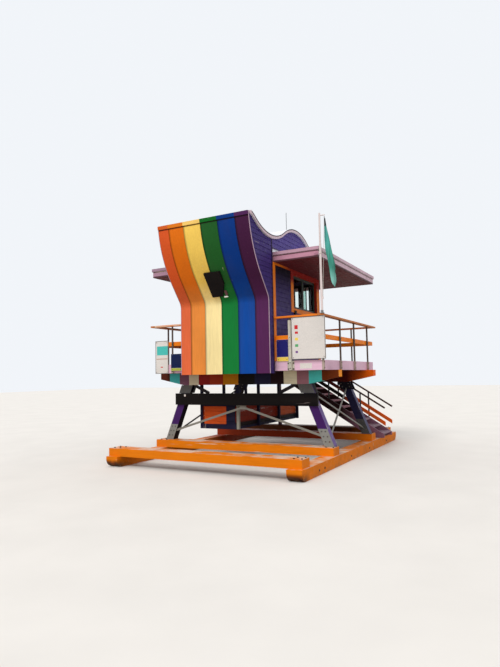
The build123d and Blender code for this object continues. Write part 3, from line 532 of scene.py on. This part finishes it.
# Building blocks of the new pieces, drawn in the cabin's own coordinates
def piece(name, mesh, paint, bevel, replaced=()):
    """Object made from a mesh, with its paint, its rounded edges and the nodes it stands for."""
    bmesh.ops.translate(mesh, verts=mesh.verts, vec=-middle)
    bmesh.ops.recalc_face_normals(mesh, faces=mesh.faces)
    data = bpy.data.meshes.new(name)
    mesh.to_mesh(data)
    mesh.free()
    thing = bpy.data.objects.new(name, data)
    bpy.context.collection.objects.link(thing)
    data.materials.append(paints[paint])
    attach(thing, "root")
    if replaced:
        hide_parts(*replaced)
    if bevel:
        soften(thing, bevel)
    return thing


def loft(mesh, sections):
    """Solid through outlines of the same number of points."""
    rows = [[mesh.verts.new(corner) for corner in section] for section in sections]
    mesh.faces.new(rows[0])
    mesh.faces.new(list(reversed(rows[-1])))
    for first, second in zip(rows, rows[1:]):
        for index in range(len(first)):
            after = (index + 1) % len(first)
            mesh.faces.new((first[index], second[index], second[after], first[after]))


def prism(mesh, corners, push):
    """Straight solid over a flat outline."""
    push = Vector(push)
    loft(mesh, [corners, [Vector(corner) + push for corner in corners]])


def box(mesh, low, high):
    """Board between two corners."""
    x, y, z = low
    prism(mesh, [(x, y, z), (high[0], y, z), (high[0], high[1], z), (x, high[1], z)], (0, 0, high[2] - z))


def boards(name, paint, slot, bevel, *spans):
    """Piece made of boards, each between two corners."""
    mesh = bmesh.new()
    for low, high in spans:
        box(mesh, low, high)
    piece(name, mesh, paint, bevel)


def both_sides(inner, outer):
    """A strip's reach from left to right, at the tower's right side and at its left."""
    return (inner, outer), (-outer, -inner)


def ring(center, radius, way, sides):
    """Points round a line through a center."""
    way = Vector(way).normalized()
    first = way.orthogonal().normalized()
    second = way.cross(first)
    turns = [2 * pi * step / sides for step in range(sides)]
    return [Vector(center) + first * (radius * cos(turn)) + second * (radius * sin(turn)) for turn in turns]


def pipe(mesh, start, end, radius, sides=20):
    """Round bar from start to end."""
    run = Vector(end) - Vector(start)
    prism(mesh, ring(start, radius, run, sides), run)


def bolt(mesh, spot, way, radius, height):
    """Washer with a domed nut, standing out of a surface."""
    way = Vector(way).normalized()
    spot = Vector(spot)
    prism(mesh, ring(spot, radius * 1.5, way, 14), way * (height * 0.3))
    prism(mesh, ring(spot + way * (height * 0.3), radius, way, 6), way * (height * 0.5))
    prism(mesh, ring(spot + way * (height * 0.8), radius * 0.7, way, 10), way * (height * 0.2))


def band(mesh, outer, inner, left, right):
    """Curved skin between two profiles of the same number of points, from left to right."""
    rows = []
    for x in (left, right):
        rows.append([mesh.verts.new((x, y, z)) for y, z in outer])
        rows.append([mesh.verts.new((x, y, z)) for y, z in inner])
    outer_left, inner_left, outer_right, inner_right = rows
    for index in range(len(outer) - 1):
        for first, second in ((outer_left, outer_right), (inner_left, inner_right),
                              (outer_left, inner_left), (outer_right, inner_right)):
            mesh.faces.new((first[index], first[index + 1], second[index + 1], second[index]))
    for index in (0, -1):
        mesh.faces.new((outer_left[index], outer_right[index], inner_right[index], inner_left[index]))


def arc(points, heading, radius, turn, steps):
    """Arc added to a line of points, and the heading after it, in degrees."""
    side = 1 if turn > 0 else -1
    across = radians(heading + 90 * side)
    center = (points[-1][0] + radius * cos(across), points[-1][1] + radius * sin(across))
    for step in range(1, steps + 1):
        angle = radians(heading - 90 * side + turn * step / steps)
        points.append((center[0] + radius * cos(angle), center[1] + radius * sin(angle)))
    return heading + turn


# The striped wall's profile and the roof's wave, as the frame has them
wall_bottom, knee_height, wall_head, roof_crest = 2.21, 3.92, 5.895, 6.02
wall_lean, top_lean = 38, 6
knee_radius, sweep_radius = 0.3, 2.7
lean_sine = sin(radians(wall_lean))
bend_rise = knee_radius * lean_sine + sweep_radius * (lean_sine - sin(radians(top_lean)))
slope_length = (wall_head - knee_height - bend_rise) / cos(radians(wall_lean))


def flare(inset):
    """Points up the back wall's line, moved into the cabin by inset."""
    post_steps, slope_steps = 6, 3
    rise = (knee_height - wall_bottom) / post_steps
    points = [(-0.31 + inset, wall_bottom + rise * step) for step in range(post_steps + 1)]
    heading = arc(points, 90, knee_radius + inset, wall_lean, 8)
    y, z = points[-1]
    for step in range(1, slope_steps + 1):
        reach = slope_length * step / slope_steps
        points.append((y + reach * cos(radians(heading)), z + reach * sin(radians(heading))))
    arc(points, heading, sweep_radius - inset, top_lean - wall_lean, 16)
    return points


def wave(drop):
    """Points along the roof's line, moved down by drop."""
    half_wave, wave_height = 1.55, 0.45
    turn = degrees(2 * atan(wave_height / half_wave))
    radius = half_wave / (2 * sin(radians(turn)))
    points = [(-0.2 - half_wave, roof_crest - drop)]
    heading = 0
    for bend in (-1, 1, 1, -1, -1, 1):
        heading = arc(points, heading, radius, bend * turn, 8)
    return points


def at(line, value, known, wanted):
    """Coordinate of a line of points where its other coordinate has a value."""
    if value <= line[0][known]:
        return line[0][wanted]
    for first, second in zip(line, line[1:]):
        if value <= second[known]:
            share = (value - first[known]) / (second[known] - first[known])
            return first[wanted] + (second[wanted] - first[wanted]) * share
    return line[-1][wanted]


# Striped wall: six boards' widths of colour, with an open joint between them
left = -cabin_half
for number, (right, low_color, high_color, _) in enumerate(stripes, 1):
    wall = bmesh.new()
    band(wall, flare(0), flare(0.06), left + 0.003, right - 0.003)
    seam = left - middle.x if number > 1 else left - 1
    paint = f"stripe {number}"
    paints[paint] = stripe_material(paint, low_color, high_color, seam)
    piece(f"stripe_{number}", wall, paint, 0.004, ["striped_wall"])
    left = right

# Dark backing in the joints between the stripes
backing = bmesh.new()
band(backing, flare(0.012), flare(0.05), -cabin_half + 0.01, cabin_half - 0.01)
piece("stripe_backing", backing, "corner purple", 0)

# Pink edge strips down both sides of the striped wall
edges = bmesh.new()
for left, right in both_sides(cabin_half, cabin_half + 0.012):
    band(edges, flare(0), flare(0.022), left, right)
piece("wall_edges", edges, "edge pink", 0.002)


# Clapboards, thicker at their lower edges
board_rise = 0.115
butt, tip = 0.015, 0.005


def clapboards(mesh, face, outward, back, front, openings, across_x=True):
    """Overlapping boards up a wall's face, from the deck to the ceiling, with gaps at the openings."""
    row = deck_top
    while row < ceiling - 0.01:
        top = min(row + board_rise, ceiling)
        parts = [(back, front)]
        for gap_back, gap_front, gap_low, gap_high in openings:
            if row < gap_high - 0.001 and top > gap_low + 0.001:
                parts = [
                    part
                    for start, end in parts
                    for part in ((start, min(end, gap_back)), (max(start, gap_front), end))
                    if part[1] - part[0] > 0.01
                ]
        profile = ((0, row), (butt * outward, row), (tip * outward, top), (0, top))
        for start, end in parts:
            if across_x:
                prism(mesh, [(face + out, start, z) for out, z in profile], (0, end - start, 0))
            else:
                prism(mesh, [(start, face + out, z) for out, z in profile], (end - start, 0, 0))
        row = top


corner_edge = -0.07
window_hole = (window_back, window_front, sill, head)
for name, outward in (("siding_right", 1), ("siding_left", -1)):
    siding = bmesh.new()
    clapboards(siding, cabin_half * outward, outward, corner_edge, cabin_front, [window_hole])
    piece(name, siding, "cabin siding", 0)

siding = bmesh.new()
door_hole = (-1.05, -0.2, deck_top, deck_top + 2.05)
front_hole = (0.5, 1.05, sill, head)
clapboards(siding, cabin_front, 1, -cabin_half, cabin_half, [door_hole, front_hole], False)
piece("siding_front", siding, "siding violet front", 0)


def cut_boards(mesh, outward, low, back, front):
    """Overlapping boards that start on the line back and end under the wave roof."""
    face = cabin_half * outward
    row = low
    while row < roof_crest - 0.01:
        top = row + board_rise
        sections = []
        for step in range(61):
            run = step / 60
            low_y = front + (at(back, row, 1, 0) - front) * (1 - run)
            high_y = front + (at(back, top, 1, 0) - front) * (1 - run)
            high_z = min(top, at(roof_underside, high_y, 0, 1))
            rise = (high_z - row) / board_rise
            if rise > 0.03:
                high_y = low_y + (high_y - low_y) * rise
                thin = (butt - 0.01 * rise) * outward
                sections.append([(face, low_y, row), (face + butt * outward, low_y, row),
                                 (face + thin, high_y, high_z), (face, high_y, high_z)])
            elif sections:
                loft(mesh, sections)
                sections = []
        if sections:
            loft(mesh, sections)
        row = top


roof_underside = wave(0.082)
flare_front, gable_foot = -0.12, 5.29
for side, outward in (("right", 1), ("left", -1)):
    siding = bmesh.new()
    cut_boards(siding, outward, wall_bottom, flare(0.024), flare_front)
    piece(f"flare_siding_{side}", siding, "siding violet", 0)
    siding = bmesh.new()
    cut_boards(siding, outward, gable_foot, [(corner_edge, 0)], cabin_front)
    piece(f"gable_siding_{side}", siding, "gable purple", 0)

# Dark corner boards where the flare's sides meet the cabin
corner_top = at(roof_underside, -0.1, 0, 1)
boards("corner_boards", "corner purple", "trim_paint", 0.003,
       *[((left, flare_front, wall_bottom), (right, corner_edge - 0.002, corner_top))
         for left, right in both_sides(cabin_half, cabin_half + 0.018)])


def border(left, right, low, high, bar, first_stile=None, last_stile=None):
    """Rectangles of a frame's foot, head and two stiles, as wide as the bar unless they are given."""
    first_edge = left + (first_stile or bar)
    last_edge = right - (last_stile or bar)
    return ((left, right, low, low + bar), (left, right, high - bar, high),
            (left, first_edge, low + bar, high - bar), (last_edge, right, low + bar, high - bar))


# Reveals and sashes of the side windows
window_frame, sash_bar, reveal = 0.045, 0.03, 0.014
sash_back, sash_face = 0.09, 0.062
sash_low, sash_high = sill + window_frame, head - window_frame
half_light = (window_front - window_back - window_frame) / 2
reveals, sashes = bmesh.new(), bmesh.new()
for side in (-1, 1):
    inner, outer = sorted((side * (cabin_half - 0.054), side * (cabin_half - 0.001)))
    for back, front, low, high in border(window_back, window_front, sill, head, reveal):
        box(reveals, (inner, back, low), (outer, front, high))
    near, far = sorted((side * (cabin_half - sash_back), side * (cabin_half - sash_face)))
    for start, end in ((window_back + window_frame, window_back + half_light),
                       (window_front - half_light, window_front - window_frame)):
        for back, front, low, high in border(start, end, sash_low, sash_high, sash_bar):
            box(sashes, (near, back, low), (far, front, high))
piece("window_reveals", reveals, "reveal red", 0.002)
piece("window_sashes", sashes, "sash metal", 0.002)

# Sashes of the front window, with a wide stile and a teal film in the middle
thin_stile = 0.012
near, far = cabin_front - sash_back, cabin_front - sash_face
glass_low, glass_high = sash_low + sash_bar, sash_high - sash_bar
sashes = bmesh.new()
for start, end, last_stile in ((0.545, 0.7525, 0.09), (0.7975, 1.005, thin_stile)):
    for left, right, low, high in border(start, end, sash_low, sash_high, sash_bar, thin_stile, last_stile):
        box(sashes, (left, near, low), (right, far, high))
box(sashes, (0.895, near, glass_low), (0.92, far, glass_high))
piece("front_sashes", sashes, "sash black", 0.002)
boards("window_film", "window film", "window_glass", 0,
       ((0.81, near + 0.012, glass_low + 0.003), (0.894, near + 0.014, glass_high - 0.003)))

# Soffit boards under the canopy, run from back to front
soffit = bmesh.new()
soffit_half, soffit_boards = 2.408, 34
board_pitch = 2 * soffit_half / soffit_boards
for index in range(soffit_boards):
    left = -soffit_half + index * board_pitch
    box(soffit, (left + 0.002, 0.04, ceiling), (left + board_pitch - 0.002, 4.6, ceiling + 0.018))
piece("soffit_boards", soffit, "soffit maroon", 0.003, ["canopy_soffit"])

# Thin dark drip edge along the wave roof
drip = bmesh.new()
roof_edge = [spot for spot in wave(0) if spot[0] > -1.2]
for left, right in both_sides(1.3295, 1.336):
    band(drip, roof_edge, [(y, z - 0.02) for y, z in roof_edge], left, right)
piece("roof_drip", drip, "panel black", 0)


# Deck and landing boards
def deck_boards(name, node, left, right, back, front, joints=()):
    """Floor of boards laid side to side, each row cut at one of the joints."""
    floor = bmesh.new()
    rows = round((front - back) / 0.145)
    board_pitch = (front - back) / rows
    for row in range(rows):
        start = back + row * board_pitch
        cuts = [left] + ([joints[row % len(joints)]] if joints else []) + [right]
        for first, last in zip(cuts, cuts[1:]):
            lift = random.uniform(-0.0015, 0)
            box(floor, (first + 0.001, start + 0.003, deck_top - 0.04 + lift),
                (last - 0.001, start + board_pitch - 0.003, deck_top + lift))
    piece(name, floor, "deck boards", 0.003, [node])


deck_boards("deck_planks", "deck_floor", deck_left + 0.04, deck_right - 0.04, 0.04, deck_depth - 0.04,
            (-1.15, 0.65, -0.55, 1.25))
deck_boards("flare_planks", "deck_floor", -1.22, 1.22, -0.245, 0.03)
deck_boards("landing_planks", "landing_floor", landing_left, stair_head, deck_depth + 0.002, stair_front)


# Railings: pipe posts in sleeves on the fascia, a flat cap and a board
post_radius = 0.024
post_reach = post_radius + seat_gap
cap_half, cap_thickness = 0.07, 0.045
board_reach = post_reach + 0.038
board_low, board_high = 2.995, 3.11
sleeve_half, sleeve_reach = 0.031, 0.0265
right_line, left_line = deck_right + post_reach, deck_left - post_reach
back_line, front_line = -post_reach, deck_depth + post_reach
landing_line, landing_front = landing_left - post_reach, stair_front + post_reach


def railing(name, runs, side=""):
    """Railing of straight runs, each with its line, cap, board, posts and the deck's side."""
    posts, caps, planks, bolts = (bmesh.new() for _ in range(4))
    for axis, line, cap, board, spots, inward in runs:
        def point(along, off, z):
            return (line + off, along, z) if axis == "Y" else (along, line + off, z)

        def slab(mesh, start, end, near, far, low, high):
            near, far = sorted((near, far))
            box(mesh, point(start, near, low), point(end, far, high))

        slab(caps, *cap, -cap_half, cap_half, rail_top - cap_thickness, rail_top)
        slab(planks, *board, inward * post_reach, inward * board_reach, board_low, board_high)
        out = Vector(point(0, -inward, 0)) - Vector(point(0, 0, 0))
        for spot in spots:
            pipe(posts, point(spot, 0, header_top + seat_gap),
                 point(spot, 0, rail_top - cap_thickness - 0.0005), post_radius)
            slab(posts, spot - sleeve_half, spot + sleeve_half, inward * post_reach,
                 -inward * sleeve_reach, header_top + 0.004, deck_top)
            for height in (header_top + 0.05, deck_top - 0.05):
                bolt(bolts, Vector(point(spot, 0, height)) + out * sleeve_reach, out, 0.01, 0.012)
            bolt(bolts, Vector(point(spot, 0, 3.05)) + out * (post_radius - 0.003), out, 0.01, 0.012)
    piece(f"{name}_posts", posts, "railing post steel", 0.0015, [name])
    piece(f"{name}_caps", caps, f"rail cap{side}", 0.006, [name])
    piece(f"{name}_boards", planks, f"rail orange{side}", 0.005, [name])
    piece(f"{name}_bolts", bolts, "dark bolt", 0)


wall_side = cabin_half + 0.02
side_cap = (back_line - cap_half, front_line + cap_half)
back_right = (wall_side, right_line - cap_half)
back_left = (left_line + cap_half, -wall_side)
front_right = (stair_head, right_line - cap_half)
front_left = (left_line + cap_half, landing_left)
landing_cap = (front_line + cap_half, landing_front + cap_half)
landing_front_cap = (landing_line + cap_half, stair_head)
railing("rail_right", [
    ("Y", right_line, side_cap, (back_line, front_line), (0.03, 1.25, 2.39, 3.62), -1),
], " side")
railing("rail_left", [
    ("Y", left_line, side_cap, (0, front_line), (0.61, 1.81, 3.01, 4.2), 1),
], " side")
railing("rail_back", [
    ("X", back_line, back_right, back_right, (1.685,), 1),
    ("X", back_line, back_left, back_left, (-1.78,), 1),
])
railing("rail_front", [
    ("X", front_line, front_right, front_right, (stair_head + 0.03, 0.56, 1.82), -1),
    ("X", front_line, front_left, front_left, (-1.81,), -1),
])
railing("rail_landing", [
    ("Y", landing_line, landing_cap, (landing_cap[0], landing_front), (stair_front - 0.03,), 1),
    ("X", landing_front, landing_front_cap, landing_front_cap, (-1.65, stair_head - 0.13), -1),
])

# Wide pale bracket of the post beside the large board
boards("post_bracket", "pale bracket", "galvanised", 0.003,
       ((1.595, -0.006, header_top + 0.004), (1.775, -seat_gap, 2.498)),
       ((1.65, -0.054, header_top + 0.004), (1.72, -0.006, 3.46)))
bolts = bmesh.new()
for x in (1.617, 1.755):
    for z in (2.3, 2.437):
        bolt(bolts, (x, -0.006, z), (0, -1, 0), 0.013, 0.014)
piece("bracket_bolts", bolts, "dark bolt", 0)


# Stair railings: posts between the stringer and a sloping pipe, with a sloping board
def nosing(x):
    """Height of the line over the treads' front edges."""
    return deck_top - (x - stair_head) * stair_rise / stair_going


rail_end, pipe_rise, pipe_radius = 2.74, 0.78, 0.026
board_foot, board_head = 0.25, 0.37
posts, planks, pipes, bolts = (bmesh.new() for _ in range(4))
for line, outward in ((stair_back + 0.025, 1), (stair_front - 0.025, -1)):
    for x in (0.0, 1.0, 2.0):
        foot = nosing(x)
        pipe(posts, (x, line, foot - 0.005), (x, line, foot + 0.755), post_radius)
        for rise in (0.27, 0.34):
            spot = (x, line - outward * (post_radius - 0.003), foot + rise)
            bolt(bolts, spot, (0, -outward, 0), 0.009, 0.01)
    near, far = sorted((line + outward * post_reach, line + outward * board_reach))
    prism(planks, [
        (stair_head, near, deck_top + board_head), (stair_head, near, deck_top + board_foot),
        (rail_end, near, nosing(rail_end) + board_foot), (rail_end, near, nosing(rail_end) + board_head),
    ], (0, far - near, 0))
    pipe(pipes, (stair_head, line, deck_top + pipe_rise),
         (rail_end, line, nosing(rail_end) + pipe_rise), pipe_radius)
piece("stair_posts", posts, "stair post steel", 0.0015, ["stair_rails"])
piece("stair_boards", planks, "stair board", 0.005, ["stair_rails"])
piece("stair_pipes", pipes, "pipe brown", 0.002, ["stair_rails"])
piece("stair_bolts", bolts, "dark bolt", 0)

# Locker boards between the frame's posts and rails, with open joints
panels, side_panels, dark_panels = (bmesh.new() for _ in range(3))
panel_foot, panel_rise, panel_thickness = 0.81, 0.135, 0.02
panel_left, panel_right = -1.34, -0.35
joint = 0.002
for row in range(4):
    bottom = panel_foot + row * panel_rise + joint
    top = panel_foot + (row + 1) * panel_rise - joint
    for near in (-1.375, -0.335):
        box(side_panels, (near, 0.8, bottom), (near + panel_thickness, 4.77, top))
    for mesh, left, right, back in ((panels, panel_left, -0.635, 0.815),
                                    (dark_panels, -0.631, panel_right, 0.815),
                                    (panels, panel_left, panel_right, 4.735)):
        box(mesh, (left, back, bottom), (right, back + panel_thickness, top))
floor_back, floor_boards = 0.85, 9
board_pitch = 3.87 / floor_boards
for column in range(floor_boards):
    start = floor_back + column * board_pitch
    box(panels, (panel_left, start + joint, 0.74), (panel_right, start + board_pitch - joint, 0.76))
for name, mesh, paint in (("locker_boards", panels, "locker orange"),
                          ("locker_side_boards", side_panels, "locker red"),
                          ("locker_dark_boards", dark_panels, "locker navy")):
    piece(name, mesh, paint, 0.003, ["locker_panels"])
boards("locker_post", "locker gray", "locker_frame_paint", 0.004,
       ((-0.303, 0.797, 0.743), (-0.227, 0.873, 1.417)))
boards("locker_sill", "locker navy", "locker_frame_paint", 0.003,
       ((-1.385, 0.788, 0.742), (-0.305, 0.7997, 0.87)))

# Bolts of the skid, the legs and the beams
bolts = bmesh.new()
skid_top, runner_side = 0.438, 2.604
for back in (-1.53, 0.33, 3.5, 5.275):
    for x in (-2.52, -2.34, 2.34, 2.52):
        for shift in (0.1, 0.3):
            bolt(bolts, (x, back + shift, skid_top), (0, 0, 1), 0.018, 0.02)
for side in (-1, 1):
    for y in (-0.7, -0.37, 1.5, 3.1, 4.9):
        bolt(bolts, (side * runner_side, y, 0.11), (side, 0, 0), 0.018, 0.014)
piece("skid_bolts", bolts, "dark bolt", 0)

bolts = bmesh.new()
leg_middle, leg_head, leg_head_height = 0.045, 1.745, 1.935
leg_slope = (2.355 - leg_head) / (leg_head_height - 0.44)
for back in (0.53, 3.5):
    for face, way in ((back - 0.01, -1), (back + 0.21, 1)):
        for side in (-1, 1):
            for height, reach in ((0.56, 0.05), (0.68, 0.05), (0.8, 0.05), (1.79, 0.11), (1.88, 0.11)):
                leg_x = leg_middle + side * (leg_head + (leg_head_height - height) * leg_slope)
                for shift in (-reach, reach):
                    bolt(bolts, (leg_x + shift, face, height), (0, way, 0), 0.013, 0.014)
piece("leg_bolts", bolts, "bolt steel", 0)

# White disc on the dark beam
disc = bmesh.new()
pipe(disc, (-1.739, 0.4697, 1.656), (-1.739, 0.462, 1.656), 0.032, 24)
piece("beam_disc", disc, "board white", 0.002)

# Boards on the railings: flat sheets in thin frames, left bare apart from plain blocks of colour.
# A sheet lies on its board's front and a mark lies on the sheet.
post_face = back_line - post_reach
board_face = back_line + 0.024
post_sheet, post_mark = post_face - 0.018, post_face - 0.0186
board_sheet, board_mark = board_face - 0.018, board_face - 0.0186
fascia_sheet = -0.0005
sheet_thickness = 0.0006
for name, paint, face, left, right, low, high in (
    ("large_face", "board white", post_sheet, 1.754, 2.578, 2.532, 3.51),
    ("small_face", "board navy", board_sheet, 1.327, 1.628, 2.592, 3.008),
    ("small_strip", "board yellow", board_sheet, 1.327, 1.628, 2.492, 2.588),
    ("left_face", "board white", board_sheet, -2.348, -1.942, 2.272, 3.138),
    ("left_block", "board teal", board_mark, -2.312, -1.934, 2.762, 3.005),
    ("left_navy", "board ink", post_sheet, -1.803, -1.452, 2.402, 2.778),
    ("left_strip", "board lime", post_sheet, -1.803, -1.452, 2.332, 2.398),
    ("left_bar", "board brown", board_mark, -2.33, -1.96, 2.648, 2.67),
    ("left_dash", "board red", board_mark, -2.19, -2.11, 2.424, 2.45),
    ("row_1", "board red", post_mark, 1.825, 1.91, 3.235, 3.33),
    ("row_2", "board red", post_mark, 1.835, 1.912, 3.125, 3.18),
    ("row_3", "board yellow", post_mark, 1.832, 1.912, 2.967, 3.033),
    ("row_4", "board green", post_mark, 1.834, 1.912, 2.817, 2.879),
    ("row_5", "board purple", post_mark, 1.84, 1.9, 2.671, 2.721),
    ("fascia_plate", "board white", fascia_sheet, 1.915, 2.218, 2.304, 2.43),
):
    boards(f"board_{name}", paint, "board_paint", 0.0002,
           ((left, face - sheet_thickness, low), (right, face, high)))

frames, screws = bmesh.new(), bmesh.new()
for face, left, right, low, high, framed in (
    (board_face, -2.36, -1.93, 2.26, 3.15, True),
    (post_face, -1.805, -1.45, 2.33, 2.78, False),
    (board_face, 1.325, 1.63, 2.49, 3.01, False),
    (post_face, 1.742, 2.59, 2.52, 3.522, True),
):
    if framed:
        for start, end, bottom, top in border(left, right, low, high, 0.012):
            box(frames, (start, face - 0.024, bottom), (end, face - 0.018, top))
    for x in (left + 0.04, right - 0.04):
        for z in (low + 0.04, high - 0.04):
            bolt(screws, (x, face - 0.019, z), (0, -1, 0), 0.007, 0.006)
piece("board_frames", frames, "board frame steel", 0.001)
piece("board_screws", screws, "bolt steel", 0)

# Lamp and its bracket at the black panel's cut corner, and a junction box under the window
wall_y = at(flare(0), 4.14, 1, 0)
for name, paint, left, width, corners in (
    ("panel_lamp", "lamp white", 0.12, 0.1, ((0.02, 4.1), (-0.035, 4.1), (-0.035, 4.135), (0.02, 4.135))),
    ("lamp_bracket", "lamp rose", 0.16, 0.07, ((0.02, 4.15), (-0.04, 4.15), (-0.12, 4.26), (-0.06, 4.26))),
):
    lamp = bmesh.new()
    prism(lamp, [(left, wall_y + off, z) for off, z in corners], (width, 0, 0))
    piece(name, lamp, paint, 0.006)
boards("junction_box", "panel black", "panel_black", 0.005,
       ((cabin_half + 0.012, 1.16, 3.745), (cabin_half + 0.052, 1.26, 3.845)))

# White curbs on the canopy, just inside the gables
boards("canopy_curbs", "curb white", "canopy_paint", 0.002,
       *[((left, 0.0, canopy_top + seat_gap), (right, 2.99, 5.3))
         for left, right in both_sides(1.212, 1.2265)])

# Collar at the pole's foot
pole_x, pole_y = 2.53, -0.0595
collar = bmesh.new()
pipe(collar, (pole_x, pole_y, 3.568), (pole_x, pole_y, 3.58), 0.055, 24)
pipe(collar, (pole_x, pole_y, 3.58), (pole_x, pole_y, 3.64), 0.034, 24)
bolt(collar, (pole_x + 0.02, pole_y - 0.03, 3.61), (0.5, -1, 0), 0.008, 0.012)
piece("pole_collar", collar, "galvanised steel", 0.002)

# The limp flag: one sheet, hung by its hoist from the rope and folded back and forth.
# Its edges are points of height and distance to the right.
flag_low, flag_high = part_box("flag")
flag_rows, flag_columns, flag_folds = 60, 128, 7.6
left_edge = [(4.15, 2.84), (4.29, 2.783), (4.43, 2.763), (4.6, 2.745), (4.73, 2.726), (5.03, 2.66),
             (5.33, 2.646), (5.56, 2.652), (5.79, 2.657)]
right_edge = [(4.15, 2.856), (4.28, 2.894), (4.42, 2.884), (4.5, 2.868), (4.59, 2.876), (4.71, 2.869),
              (5.01, 2.806), (5.32, 2.752), (5.56, 2.697), (5.79, 2.668)]
cloth = bmesh.new()
grid = []
for row in range(flag_rows + 1):
    points = []
    for column in range(flag_columns + 1):
        run = column / flag_columns
        hem = 1 - 0.045 * (0.5 + 0.5 * cos(run * flag_folds * pi + 0.6))
        drop = row / flag_rows * hem
        height = flag_high.z - (flag_high.z - flag_low.z - 0.004) * drop
        left, right = at(left_edge, height, 0, 1), at(right_edge, height, 0, 1)
        fold = 0.5 - 0.5 * cos(run * flag_folds * pi)
        x = left + (right - left) * fold - middle.x
        depth = (run - 0.5) * 0.04 + 0.008 * sin(run * 9 + drop * 7) * (0.3 + drop)
        y = (flag_low.y + flag_high.y) / 2 + depth
        points.append(cloth.verts.new(Vector((x, y, height)) + middle))
    grid.append(points)
for upper, lower in zip(grid, grid[1:]):
    for column in range(flag_columns):
        cloth.faces.new((upper[column], lower[column], lower[column + 1], upper[column + 1]))
flag = piece("flag_sheet", cloth, "flag cloth", 0, ["flag"])
for face in flag.data.polygons:
    face.use_smooth = True

# Snap that holds the flag's head on the rope
snap = bmesh.new()
pipe(snap, (2.652, pole_y, 5.83), (2.655, pole_y, 5.75), 0.008, 12)
pipe(snap, (2.655, pole_y, 5.76), (2.66, pole_y, 5.66), 0.013, 16)
piece("flag_snap", snap, "dark bolt", 0.002)

# Camera at the photograph's place, for a frame of 500 by 667 pixels
focal_pixels, frame_height, sensor = 531.395, 667, 36
yaw, pitch, roll = 0.499, 0.08, -0.019
camera_spot = Vector((6.896, -11.571, 2.151)) - middle
forward = Vector((-sin(yaw) * cos(pitch), cos(yaw) * cos(pitch), sin(pitch)))
level_right = Vector((cos(yaw), sin(yaw), 0))
level_up = level_right.cross(forward)
image_right = level_right * cos(roll) + level_up * sin(roll)
image_up = level_up * cos(roll) - level_right * sin(roll)
camera = bpy.data.objects.new("camera", bpy.data.cameras.new("camera"))
bpy.context.collection.objects.link(camera)
camera.matrix_world = Matrix((
    (image_right.x, image_up.x, -forward.x, camera_spot.x),
    (image_right.y, image_up.y, -forward.y, camera_spot.y),
    (image_right.z, image_up.z, -forward.z, camera_spot.z),
    (0, 0, 0, 1),
))
camera.data.sensor_width = sensor
camera.data.lens = focal_pixels * sensor / frame_height
bpy.context.scene.camera = camera

# Pale floor and soft light from behind the camera's left
ground = bpy.data.meshes.new("floor")
ground.from_pydata([(-80, -80, 0), (80, -80, 0), (80, 80, 0), (-80, 80, 0)], [], [(0, 1, 2, 3)])
floor = bpy.data.objects.new("floor", ground)
bpy.context.collection.objects.link(floor)
floor_paint = Shader("floor")
seen = floor_paint.add("ShaderNodeLightPath").outputs["Is Camera Ray"]
floor_color = floor_paint.mix(seen, rgb(178, 170, 158), rgb(226, 220, 212))
floor_tone = floor_paint.shade(floor_color, floor_paint.spread(floor_paint.noise(0.8), 0.97, 1.02))
ground.materials.append(floor_paint.finish(floor_tone, 0.9, floor_paint.noise(4), 0.004, specular=0.1))

world = bpy.data.worlds.new("world")
world.use_nodes = True
sky = world.node_tree.nodes["Background"]
sky.inputs["Color"].default_value = (0.93, 0.96, 1, 1)
sky.inputs["Strength"].default_value = 0.95
bpy.context.scene.world = world
sun = bpy.data.objects.new("sun", bpy.data.lights.new("sun", "SUN"))
sun.data.energy = 1.4
sun.data.angle = 0.35
sun.rotation_euler = Vector((-0.1, -0.75, 0.8)).to_track_quat("Z", "Y").to_euler()
bpy.context.collection.objects.link(sun)
bpy.context.scene.view_settings.view_transform = "Standard"
